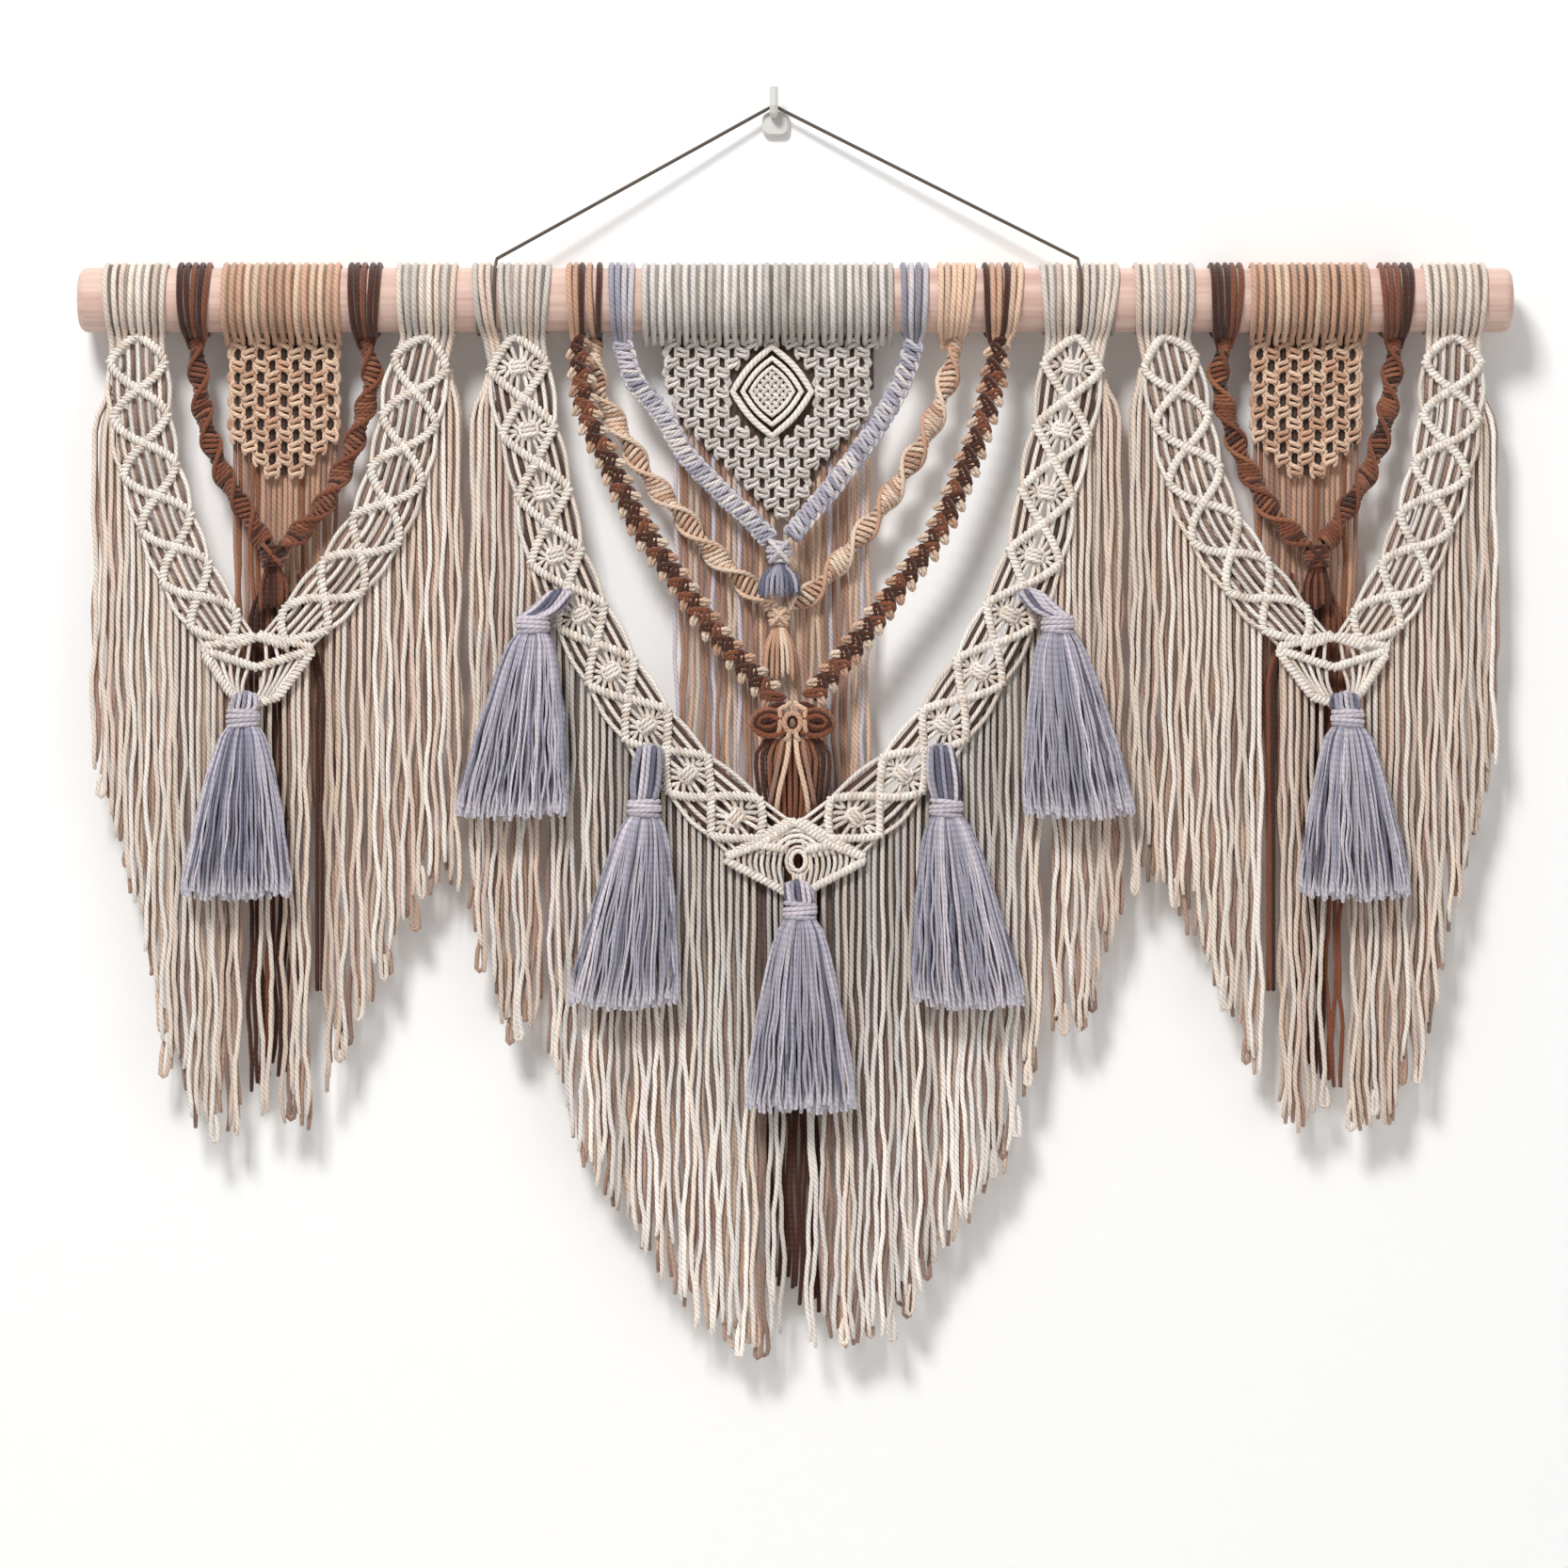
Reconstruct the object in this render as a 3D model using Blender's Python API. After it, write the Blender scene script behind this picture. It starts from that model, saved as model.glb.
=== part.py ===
"""Macrame wall hanging on a round wooden rod, hung by a string from a small wall hook.

Metres, +Z up. The wall is the plane Y = 0 and the hanging faces -Y. The origin is on the wall, behind
the place where the string lies on the hook. Sizes in the tables are in millimetres: side is measured
to the right from the hanging's middle line, drop downwards from the rod's axis, and y from the wall.
"""

import math
from collections import namedtuple

import bmesh
import bpy
from mathutils import Vector

MM = 0.001
GAP = 0.3  # between neighbouring pieces

# The rod, and the place where the hook holds the hanging.
ROD_LENGTH = 800
ROD_RADIUS = 18
ROD_END_ROUND = 5
ROD_Y = -23
ROD_DROP = 107  # rod axis below the hook
MIDDLE = 11  # middle line of the hanging, right of the hook

# The wraps round the rod.
WRAP_THICKNESS = 2.6
WRAP_SIDES = 10
HEADER_TOP = 19.2  # drop at which a hanging piece grows out of its wraps

# Layers, as the y of the middle of each sheet, and the sheets' thicknesses.
STRAP_Y, STRAP_THICKNESS = -28.25, 3.5
FRINGE_Y, FRINGE_THICKNESS = -23.2, 6
PANEL_Y, PANEL_THICKNESS = -20, 4
BROWN_FRINGE_Y, BROWN_FRINGE_THICKNESS = -18, 3.4
BACK_FRINGE_Y, BACK_FRINGE_THICKNESS = -14.2, 3

# Where the tops of the brown fringes lie, behind their knots, and the tops of the panels' fringes.
BROWN_SPINE_Y = -21
BACK_SPINE_Y = PANEL_Y + (PANEL_THICKNESS + BACK_FRINGE_THICKNESS) / 2 + GAP

FRINGE_SPINE = 10  # height of the uncut strip along a fringe's top
FRINGE_SLIT = 1.4  # gap between two teeth of a fringe
FRINGE_SHOULDER = 22  # height over which a fringe's cords fall from its top's layer to their own
FRINGE_UNEVEN = 5  # how much the teeth's ends go up and down

COLOURS = {
    "rod_wood": ((0.62, 0.47, 0.38), 0.6),
    "hook_plastic": ((0.85, 0.85, 0.83), 0.3),
    "string": ((0.10, 0.08, 0.07), 0.8),
    "cream_cord": ((0.80, 0.71, 0.62), 0.9),
    "off_white_cord": ((0.74, 0.70, 0.68), 0.9),
    "tan_cord": ((0.68, 0.45, 0.30), 0.9),
    "brown_cord": ((0.10, 0.035, 0.02), 0.9),
    "brown_tan_cord": ((0.32, 0.15, 0.09), 0.9),
    "blue_white_cord": ((0.52, 0.54, 0.62), 0.9),
    "blue_grey_cord": ((0.26, 0.29, 0.40), 0.9),
    "pink_tan_cord": ((0.55, 0.40, 0.34), 0.9),
}

# Each strap: its middle line and width, from the rod down. Left and right straps are mirror images.
StrapRow = namedtuple("StrapRow", "side drop width")
OUTER_STRAP = [
    StrapRow(367.5, 20, 37),
    StrapRow(365, 69, 37),
    StrapRow(357, 106, 36),
    StrapRow(344, 143, 34),
    StrapRow(331, 169, 32),
    StrapRow(316, 190.7, 32),
]
INNER_STRAP = [
    StrapRow(205.5, 20, 35),
    StrapRow(213, 53, 36),
    StrapRow(219, 85, 36),
    StrapRow(231, 122, 35),
    StrapRow(247, 147, 34),
    StrapRow(262, 166, 33),
    StrapRow(284, 190.7, 32),
]
CENTRE_STRAP = [
    StrapRow(157, 20, 40),
    StrapRow(149, 72, 36),
    StrapRow(142, 100, 35),
    StrapRow(132, 148, 35),
    StrapRow(107, 200, 35),
    StrapRow(84, 236, 35),
    StrapRow(57, 268, 36),
    StrapRow(20, 301, 44),
]
# The two ends of each strap's last line of knots: its outer edge, and the notch of the V.
StrapEnd = namedtuple("StrapEnd", "outer_side outer_drop notch_side notch_drop")
OUTER_STRAP_END = StrapEnd(332, 194.4, 300.2, 187)
INNER_STRAP_END = StrapEnd(268, 194.4, 299.8, 187)
CENTRE_STRAP_END = StrapEnd(39.4, 312, 0.2, 289.4)
SIDE_CELLS = 6
CENTRE_CELLS = 9
HOLE_FROM, HOLE_TO = 0.27, 0.42  # the two three-sided gaps in a cell, as shares across the strap
HOLE_HIGH = 0.3  # their height, as a share of the cell

# The nets below the V of each swag.
TipRow = namedtuple("TipRow", "side drop")
SIDE_TIP = [
    TipRow(332, 194.8),
    TipRow(300, 187.4),
    TipRow(268, 194.8),
    TipRow(289, 223),
    TipRow(306, 228.5),
    TipRow(317, 220.6),
]
CENTRE_TIP = [
    TipRow(39.4, 312.45),
    TipRow(0, 289.75),
    TipRow(-39.4, 312.45),
    TipRow(-11, 328),
    TipRow(0, 334.6),
    TipRow(11, 328),
]

# Each fringe: where its top is tucked behind the strap, and where its ends hang.
FringeRow = namedtuple("FringeRow", "side top hem")
OUTER_FRINGE = [
    FringeRow(393, 45, 255),
    FringeRow(380, 60, 300),
    FringeRow(367, 110, 345),
    FringeRow(350, 150, 430),
    FringeRow(333, 183, 463),
    FringeRow(318, 204, 463),
    FringeRow(305.7, 214, 463),
]
INNER_FRINGE = [
    FringeRow(304.3, 214, 463),
    FringeRow(285, 200, 463),
    FringeRow(270, 182, 460),
    FringeRow(255, 165, 425),
    FringeRow(240, 138, 395),
    FringeRow(225, 104, 362),
    FringeRow(210, 60, 335),
    FringeRow(197, 45, 322),
    FringeRow(187, 36, 335),
]
UPPER_FRINGE = [
    FringeRow(182, 40, 345),
    FringeRow(172, 42, 375),
    FringeRow(165, 62, 404),
    FringeRow(158, 94, 408),
    FringeRow(144.5, 140, 405),
]
CENTRE_FRINGE = [
    FringeRow(136, 158, 420),
    FringeRow(120, 188, 480),
    FringeRow(100, 222, 510),
    FringeRow(80, 252, 533),
    FringeRow(60, 276, 570),
    FringeRow(40, 297, 581),
    FringeRow(20, 312, 587),
    FringeRow(0.8, 318, 586),
]
TAN_FRINGE = [
    FringeRow(317, 66, 284),
    FringeRow(288, 90, 290),
    FringeRow(255, 66, 284),
]
BROWN_FRINGE = [
    FringeRow(308, 152, 440),
    FringeRow(276, 152, 425),
]
PANEL_FRINGE_LEFT = [
    FringeRow(-70, 56, 296),
    FringeRow(-40, 88, 320),
    FringeRow(-10, 118, 345),
]
PANEL_FRINGE_RIGHT = [
    FringeRow(-8.5, 118, 345),
    FringeRow(20, 86, 330),
    FringeRow(44, 56, 300),
]
BOW_FRINGE = [
    FringeRow(-18, 243.8, 555),
    FringeRow(15, 243.8, 565),
]

# The outlines of the knotted panels. The left tan panel is the right one's mirror image.
PanelRow = namedtuple("PanelRow", "side drop")
TAN_PANEL = [
    PanelRow(318, HEADER_TOP),
    PanelRow(318, 80),
    PanelRow(288, 103.5),
    PanelRow(254, 80),
    PanelRow(254, HEADER_TOP),
]
CENTRE_PANEL = [
    PanelRow(-76, HEADER_TOP),
    PanelRow(-68, 67),
    PanelRow(-9, 128),
    PanelRow(41.5, 64),
    PanelRow(45.7, HEADER_TOP),
]
MEDALLION_SIDE, MEDALLION_DROP = -13, 51
MEDALLION_WIDE, MEDALLION_HIGH, MEDALLION_PROUD = 44, 52, 2
SLIT_AWAY, SLIT_WIDE, SLIT_HIGH = 24.5, 2.5, 14  # the two slits beside the medallion

# Sinnets: a middle line, and the half width and half depth of the knotted cord there.
SinnetRow = namedtuple("SinnetRow", "side drop y half_wide half_deep")
OUTER_SPIRAL = [
    SinnetRow(335, 19.3, -24, 4, 3),
    SinnetRow(335, 26, -22, 5, 5),
    SinnetRow(331, 64, -20, 5, 5),
    SinnetRow(320.5, 95.6, -23, 5, 5),
    SinnetRow(307, 118, -25, 5, 5),
]
INNER_SPIRAL = [
    SinnetRow(240, 19.3, -24, 4, 3),
    SinnetRow(240, 26, -21, 5, 5),
    SinnetRow(237, 44, -19.8, 5, 5),
    SinnetRow(247, 80, -19.8, 5, 5),
    SinnetRow(262, 112, -23.5, 5, 5),
    SinnetRow(276, 129, -26, 5, 5),
]
BLUE_SINNET_LEFT = [
    SinnetRow(-96.6, 19.3, -26, 5, 3),
    SinnetRow(-96, 26, -28, 6, 4),
    SinnetRow(-89.8, 46, -29, 6, 5),
    SinnetRow(-76.7, 61, -29, 6, 5),
    SinnetRow(-60.4, 87, -29, 6, 5),
    SinnetRow(-42, 107, -29, 6, 5),
    SinnetRow(-23.6, 124, -29, 6, 5),
]
BLUE_SINNET_RIGHT = [
    SinnetRow(66.7, 19.3, -26, 5, 3),
    SinnetRow(66, 26, -28, 6, 4),
    SinnetRow(61.5, 41, -29, 6, 5),
    SinnetRow(50.4, 63, -29, 6, 5),
    SinnetRow(35.7, 85, -29, 6, 5),
    SinnetRow(18.9, 107, -29, 6, 5),
    SinnetRow(4, 124, -29, 6, 5),
]
TAN_SINNET_LEFT = [
    SinnetRow(-111.9, 19.3, -21, 4, 3),
    SinnetRow(-111.5, 26, -21, 5, 4),
    SinnetRow(-110.8, 48, -21, 5.5, 4.5),
    SinnetRow(-102.4, 65, -22, 5.5, 4.5),
    SinnetRow(-82.5, 98, -22, 5.5, 4.5),
    SinnetRow(-64, 120, -22, 5.5, 4.5),
    SinnetRow(-47.3, 140, -22, 5.5, 4.5),
    SinnetRow(-27.3, 159, -22, 5.5, 4.5),
]
TAN_SINNET_RIGHT = [
    SinnetRow(90.3, 19.3, -22, 4, 3),
    SinnetRow(90, 26, -22, 5, 4),
    SinnetRow(85, 45, -22, 5.5, 4.5),
    SinnetRow(76, 70, -22, 5.5, 4.5),
    SinnetRow(61.5, 96, -22, 5.5, 4.5),
    SinnetRow(45.7, 120, -22, 5.5, 4.5),
    SinnetRow(28.4, 142, -22, 5.5, 4.5),
    SinnetRow(11, 162, -22, 5.5, 4.5),
]
CHAIN_LEFT = [
    SinnetRow(-121.6, 19.3, -25, 4, 3),
    SinnetRow(-121, 27, -30, 6, 4),
    SinnetRow(-119.2, 42, -34, 7.5, 4.5),
    SinnetRow(-115.6, 65, -34, 7.5, 4.5),
    SinnetRow(-104.5, 90, -34, 7.5, 4.5),
    SinnetRow(-86, 127, -34, 7.5, 4.5),
    SinnetRow(-65.7, 157, -34, 7.5, 4.5),
    SinnetRow(-47.3, 183, -34, 7.5, 4.5),
    SinnetRow(-31, 202, -34, 7.5, 4.5),
    SinnetRow(-17, 217, -34, 7.5, 4.5),
]
CHAIN_RIGHT = [
    SinnetRow(114, 19.3, -25, 5, 3),
    SinnetRow(113, 27, -30, 6, 4),
    SinnetRow(110.8, 43, -34, 7.5, 4.5),
    SinnetRow(105.6, 65, -34, 7.5, 4.5),
    SinnetRow(94.6, 96, -34, 7.5, 4.5),
    SinnetRow(77.7, 133, -34, 7.5, 4.5),
    SinnetRow(57.8, 160, -34, 7.5, 4.5),
    SinnetRow(37.3, 188, -34, 7.5, 4.5),
    SinnetRow(13.8, 217, -34, 7.5, 4.5),
]
# Where two sinnets meet: a round knot, how far from its middle they stop, and the end of its tuft.
Knot = namedtuple("Knot", "side drop y radius clear tuft_drop tuft_y tuft_half_wide tuft_half_deep")
BROWN_KNOT = Knot(291.5, 143, -27, 7.5, 7.8, 172, -24.6, 9, 1.6)
BLUE_KNOT = Knot(-8.9, 141, -32.5, 7.5, 7.8, 165, -32.5, 11, 3.6)
TAN_KNOT = Knot(-8.9, 176.5, -22.5, 6.5, 6.8, 212, -22, 9, 3.6)
# The bow lies along the side direction: half its height, half its length and half its depth.
BOW_HALF_HIGH, BOW_HALF_WIDE, BOW_HALF_DEEP = 8, 26, 6
BOW = Knot(-1.6, 236, -34, BOW_HALF_HIGH, 15, 0, 0, 0, 0)

# Where each group of wraps sits on the rod.
OUTER_STRAP_WRAPS = [(349, 386)]
INNER_STRAP_WRAPS = [(188, 223)]
CENTRE_STRAP_WRAPS_LEFT = [(-181, -169), (-166, -136)]  # the string lies between the two
CENTRE_STRAP_WRAPS_RIGHT = [(136, 157.1), (160.1, 181)]
OUTER_SPIRAL_WRAPS = [(325, 345)]
INNER_SPIRAL_WRAPS = [(230, 250)]
TAN_PANEL_WRAPS = [(253, 320)]
CENTRE_PANEL_WRAPS = [(-86.1, 55.2)]
BLUE_WRAPS_LEFT, BLUE_WRAPS_RIGHT = [(-104.5, -89.3)], [(57.8, 75.1)]
TAN_WRAPS_LEFT, TAN_WRAPS_RIGHT = [(-116.6, -107.2)], [(79.3, 101.4)]
CHAIN_WRAPS_LEFT, CHAIN_WRAPS_RIGHT = [(-127.6, -117.2)], [(104, 127.6)]

# Tassels: where the head hangs on the net, the wrapped neck, and the middle of the hem.
Tassel = namedtuple("Tassel", "name side drop neck_side neck_drop hem_side hem_drop")
SIDE_TASSELS = [
    Tassel("outer", 306, 223, 307, 234, 311, 334.6),
    Tassel("upper", 131, 166, 146, 182, 158, 289.5),
    Tassel("lower", 81, 253, 84, 284, 96, 395),
]
CENTRE_TASSEL = Tassel("centre", 1, 328, 2.6, 341, 2.6, 452.8)
TASSEL_Y = -40
TASSEL_HEAD, TASSEL_NECK, TASSEL_HEM = 5, 9.5, 29
TASSEL_DEEP, TASSEL_BIND = 9, 9  # half depth of the skirt, and height of the neck's wrapping

# The string, from its turn round the rod over the hook to its other turn round the rod.
STRING_RADIUS = 1
STRING_TIE_LEFT, STRING_TIE_RIGHT = -167.5, 158.6
STRING_SLOT_DROP = 21.2  # where the string passes, the strap starts this far down
STRING_TURN_START, STRING_TURN_END, STRING_TURN_STEPS = 280, 0, 14  # degrees from the rod's top
STRING_SLOPE = 0.56
STRING_SPACING = 11

# The hook: a small rounded base on the wall, and a peg that turns up at its front.
HOOK_WIDE, HOOK_HIGH, HOOK_THICK, HOOK_CORNER = 15, 14.5, 4, 4
HOOK_LOW = -12.9
PEG_RADIUS, PEG_SIDE, PEG_Z, PEG_FRONT, PEG_TOP = 2.35, -1, -0.75, -13, 13.7
PEG_REST_Y = -7  # where the string lies on the peg


def place(side, drop, y):
    """The point in metres for a side, drop and y in millimetres."""
    return Vector(((MIDDLE + side) * MM, y * MM, -(ROD_DROP + drop) * MM))


def new_object(name, bm, colour):
    """An object from a bmesh, with its faces turned out and its colour."""
    bmesh.ops.recalc_face_normals(bm, faces=bm.faces)
    mesh = bpy.data.meshes.new(name)
    bm.to_mesh(mesh)
    bm.free()
    obj = bpy.data.objects.new(name, mesh)
    bpy.context.scene.collection.objects.link(obj)
    mesh.materials.append(material(colour))
    return obj


def material(name):
    """A plain material of one of the colours."""
    found = bpy.data.materials.get(name)
    if found:
        return found
    rgb, roughness = COLOURS[name]
    made = bpy.data.materials.new(name)
    made.use_nodes = True
    shader = made.node_tree.nodes["Principled BSDF"]
    shader.inputs["Base Color"].default_value = (*rgb, 1)
    shader.inputs["Roughness"].default_value = roughness
    return made


def boolean(obj, other, operation):
    """Joins other to obj or cuts it away, and keeps other as a hidden helper."""
    other.hide_render = True
    other.display_type = "WIRE"
    change = obj.modifiers.new(other.name, "BOOLEAN")
    change.operation = operation
    change.solver = "EXACT"
    change.object = other


def thicken(obj, thickness):
    """Gives a flat sheet its thickness, half to each side."""
    solid = obj.modifiers.new("thickness", "SOLIDIFY")
    solid.thickness = thickness * MM
    solid.offset = 0


def block(name, size, centre):
    """A cutter: a box of a size in millimetres about a point."""
    bm = bmesh.new()
    bmesh.ops.create_cube(bm, size=1)
    bmesh.ops.scale(bm, verts=bm.verts, vec=Vector(size) * MM)
    cutter = new_object(name, bm, "off_white_cord")
    cutter.location = centre
    return cutter


def smooth_rows(rows, count):
    """count rows at equal distances along a smooth curve through the given ones."""
    fine = []
    for i in range(len(rows) - 1):
        before, after = rows[max(i - 1, 0)], rows[min(i + 2, len(rows) - 1)]
        for step in range(20):
            t = step / 20
            fine.append([curve_at(*values, t) for values in zip(before, rows[i], rows[i + 1], after)])
    fine.append(list(rows[-1]))
    lengths = [0.0]
    for a, b in zip(fine, fine[1:]):
        lengths.append(lengths[-1] + math.dist(a[:2], b[:2]))
    return [row_at(fine, lengths, lengths[-1] * i / (count - 1)) for i in range(count)]


def curve_at(a, b, c, d, t):
    """Catmull-Rom: the value at t between b and c."""
    return b + 0.5 * t * (c - a + t * (2 * a - 5 * b + 4 * c - d + t * (3 * (b - c) + d - a)))


def row_at(fine, lengths, wanted):
    """The row at a distance along the fine rows."""
    for i in range(len(lengths) - 1):
        if lengths[i + 1] >= wanted:
            break
    t = (wanted - lengths[i]) / (lengths[i + 1] - lengths[i])
    return [a + (b - a) * t for a, b in zip(fine[i], fine[i + 1])]


def value_at(rows, column, side):
    """A column of a fringe table at a side, on straight lines between its rows."""
    for a, b in zip(rows, rows[1:]):
        low, high = sorted((a.side, b.side))
        if low <= side <= high:
            t = (side - a.side) / (b.side - a.side)
            return getattr(a, column) + (getattr(b, column) - getattr(a, column)) * t
    raise ValueError(f"side {side} is outside the table")


def wraps(name, groups, colour):
    """Sleeves of cord wrapped round the rod, one object for each group."""
    inner = (ROD_RADIUS + GAP) / math.cos(math.pi / WRAP_SIDES)
    outer = (ROD_RADIUS + GAP + WRAP_THICKNESS) / math.cos(math.pi / WRAP_SIDES)
    made = []
    for number, ends in enumerate(groups):
        bm = bmesh.new()
        rings = []
        for side, radius in ((ends[0], inner), (ends[0], outer), (ends[1], outer), (ends[1], inner)):
            ring = []
            for k in range(WRAP_SIDES):
                angle = (k + 0.5) * math.tau / WRAP_SIDES
                point = place(side, radius * math.cos(angle), ROD_Y + radius * math.sin(angle))
                ring.append(bm.verts.new(point))
            rings.append(ring)
        for a, b in zip(rings, rings[1:] + rings[:1]):
            for k in range(WRAP_SIDES):
                after = (k + 1) % WRAP_SIDES
                bm.faces.new((a[k], a[after], b[after], b[k]))
        made.append(new_object(f"{name}_wraps_{number}", bm, colour))
    return made


def hung(obj, groups, colour):
    """Joins a hanging piece to its wraps round the rod."""
    for sleeve in wraps(obj.name, groups, colour):
        boolean(obj, sleeve, "UNION")


def rod():
    """The rod: a turned cylinder with rounded ends."""
    bm = bmesh.new()
    bmesh.ops.create_cone(
        bm,
        cap_ends=True,
        segments=32,
        radius1=ROD_RADIUS * MM,
        radius2=ROD_RADIUS * MM,
        depth=ROD_LENGTH * MM,
    )
    rims = [e for e in bm.edges if len({round(v.co.z, 6) for v in e.verts}) == 1]
    bmesh.ops.bevel(bm, geom=rims, offset=ROD_END_ROUND * MM, segments=4, profile=0.5, affect="EDGES")
    obj = new_object("rod", bm, "rod_wood")
    obj.rotation_euler = (0, math.pi / 2, 0)
    obj.location = place(0, 0, ROD_Y)
    obj.data.shade_smooth()
    obj.data.set_sharp_from_angle(angle=math.radians(30))


def plate_outline():
    """The hook's back plate, seen from the front: a rectangle with round corners."""
    points = []
    half, corner = HOOK_WIDE / 2, HOOK_CORNER
    middles = (
        (half - corner, HOOK_LOW + HOOK_HIGH - corner, 0),
        (corner - half, HOOK_LOW + HOOK_HIGH - corner, 90),
        (corner - half, HOOK_LOW + corner, 180),
        (half - corner, HOOK_LOW + corner, 270),
    )
    for x, z, start in middles:
        for step in range(4):
            angle = math.radians(start + 30 * step)
            points.append((x + corner * math.cos(angle), z + corner * math.sin(angle)))
    return points


def wall_hook():
    """A small plastic hook: its base on the wall, and the peg with its raised tip."""
    bm = bmesh.new()
    outline = plate_outline()
    rings = []
    for y, inset in ((0, 0), (-HOOK_THICK * 0.6, 0), (-HOOK_THICK, 1.2)):
        ring = []
        for x, z in outline:
            centre = HOOK_LOW + HOOK_HIGH / 2
            nearer = 1 - inset / (HOOK_HIGH / 2)
            ring.append(bm.verts.new((x * nearer * MM, y * MM, (centre + (z - centre) * nearer) * MM)))
        rings.append(ring)
    close_tube(bm, rings)
    hook = new_object("wall_hook", bm, "hook_plastic")
    route = [
        (PEG_SIDE, -HOOK_THICK / 2, PEG_Z),
        (PEG_SIDE, PEG_FRONT + 4, PEG_Z),
        (PEG_SIDE, PEG_FRONT + 1.2, PEG_Z + 1.2),
        (PEG_SIDE, PEG_FRONT, PEG_Z + 4),
        (PEG_SIDE, PEG_FRONT, PEG_TOP),
    ]
    boolean(hook, round_bar("peg", route, PEG_RADIUS, "hook_plastic"), "UNION")


def round_bar(name, route, radius, colour):
    """A bar of one radius along points given as x, y, z in millimetres, bent in the plane of Y and Z."""
    bm = bmesh.new()
    rings = []
    for i, point in enumerate(route):
        before, after = route[max(i - 1, 0)], route[min(i + 1, len(route) - 1)]
        along = (Vector(after) - Vector(before)).normalized()
        across, up = Vector((1, 0, 0)), along.cross(Vector((1, 0, 0)))
        ring = []
        for k in range(12):
            angle = math.tau * k / 12
            offset = (across * math.cos(angle) + up * math.sin(angle)) * radius
            ring.append(bm.verts.new((Vector(point) + offset) * MM))
        rings.append(ring)
    close_tube(bm, rings)
    return new_object(name, bm, colour)


def close_tube(bm, rings):
    """Faces between rings of points, and one at each end."""
    for a, b in zip(rings, rings[1:]):
        for k in range(len(a)):
            after = (k + 1) % len(a)
            bm.faces.new((a[k], a[after], b[after], b[k]))
    bm.faces.new(rings[0])
    bm.faces.new(rings[-1])


def string_turn(side):
    """The string's turn round the rod, from its end to the rod's top, as x, y, z in millimetres."""
    half_step = math.radians(STRING_TURN_START - STRING_TURN_END) / STRING_TURN_STEPS / 2
    radius = (ROD_RADIUS + GAP + STRING_RADIUS) / math.cos(half_step)
    points = []
    for step in range(STRING_TURN_STEPS + 1):
        share = step / STRING_TURN_STEPS
        angle = math.radians(STRING_TURN_START + (STRING_TURN_END - STRING_TURN_START) * share)
        y, z = ROD_Y - radius * math.sin(angle), -ROD_DROP + radius * math.cos(angle)
        points.append((MIDDLE + side, y, z))
    return points


def string_route():
    """The string's points: round the rod, up to the hook, over its peg, and down to the rod again."""
    left, right = string_turn(STRING_TIE_LEFT), string_turn(STRING_TIE_RIGHT)
    top = PEG_Z + PEG_RADIUS + GAP + STRING_RADIUS
    over = []
    for reach in (-6, -2, 2, 6):
        fall = (abs(reach) - 2) * STRING_SLOPE
        over.append((PEG_SIDE + reach, PEG_REST_Y, top - fall))
    up, down = rise(left[-1], over[0]), rise(right[-1], over[-1])
    return left, up, over, down[::-1], right[::-1]


def rise(start, end):
    """Points from the top of the rod, out between the wraps and straight on to the hook."""
    side = math.copysign(1, end[0] - start[0])
    out = (start[0] + 0.1 * side, start[1] + 2.5, start[2] + 1.8)
    clear = (start[0] + 0.4 * side, start[1] + 4.2, start[2] + 4)
    count = round(math.dist(clear, end) / STRING_SPACING)
    straight = []
    for step in range(1, count):
        straight.append(tuple(a + (b - a) * step / count for a, b in zip(clear, end)))
    return [out, clear, *straight]


def hanging_string():
    """The string, a round tube along its route."""
    points = [point for run in string_route() for point in run]
    curve = bpy.data.curves.new("hanging_string", "CURVE")
    curve.dimensions = "3D"
    curve.bevel_depth = STRING_RADIUS * MM
    curve.bevel_resolution = 2
    curve.use_fill_caps = True
    spline = curve.splines.new("POLY")
    spline.points.add(len(points) - 1)
    for point, co in zip(spline.points, points):
        point.co = (co[0] * MM, co[1] * MM, co[2] * MM, 1)
    obj = bpy.data.objects.new("hanging_string", curve)
    bpy.context.scene.collection.objects.link(obj)
    curve.materials.append(material("string"))


def strap(name, mirror, rows, end, cells, groups):
    """A lattice strap: a flat net with two gaps in each of its cells, hung from its wraps."""
    bm = bmesh.new()
    levels = smooth_rows(rows, cells + 1)
    corners = cross_row(bm, mirror, levels, 0, (0, 1))
    for cell in range(cells):
        outer, inner = cross_row(bm, mirror, levels, cell + 0.5, (HOLE_FROM, 1 - HOLE_FROM))
        high = cross_row(bm, mirror, levels, cell + 0.5 - HOLE_HIGH / 2, (HOLE_TO, 1 - HOLE_TO))
        low = cross_row(bm, mirror, levels, cell + 0.5 + HOLE_HIGH / 2, (HOLE_TO, 1 - HOLE_TO))
        if cell + 1 < cells:
            after = cross_row(bm, mirror, levels, cell + 1, (0, 1))
        else:
            after = end_row(bm, mirror, end, rows is INNER_STRAP)
        bm.faces.new((*corners, inner, high[1], high[0], outer))
        bm.faces.new((high[0], high[1], low[1], low[0]))
        bm.faces.new((outer, low[0], low[1], inner, *after[::-1]))
        bm.faces.new((corners[0], outer, after[0]))
        bm.faces.new((corners[1], after[1], inner))
        corners = after
    obj = new_object(name, bm, "cream_cord")
    thicken(obj, STRAP_THICKNESS)
    if rows is CENTRE_STRAP:
        low, high = groups[0][1], groups[1][0]
        centre = place((low + high) / 2, STRING_SLOT_DROP - 4, STRAP_Y)
        slot = block(f"{name}_slot", (high - low, 4 * STRAP_THICKNESS, 8), centre)
        boolean(obj, slot, "DIFFERENCE")
    hung(obj, groups, "cream_cord")


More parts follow.
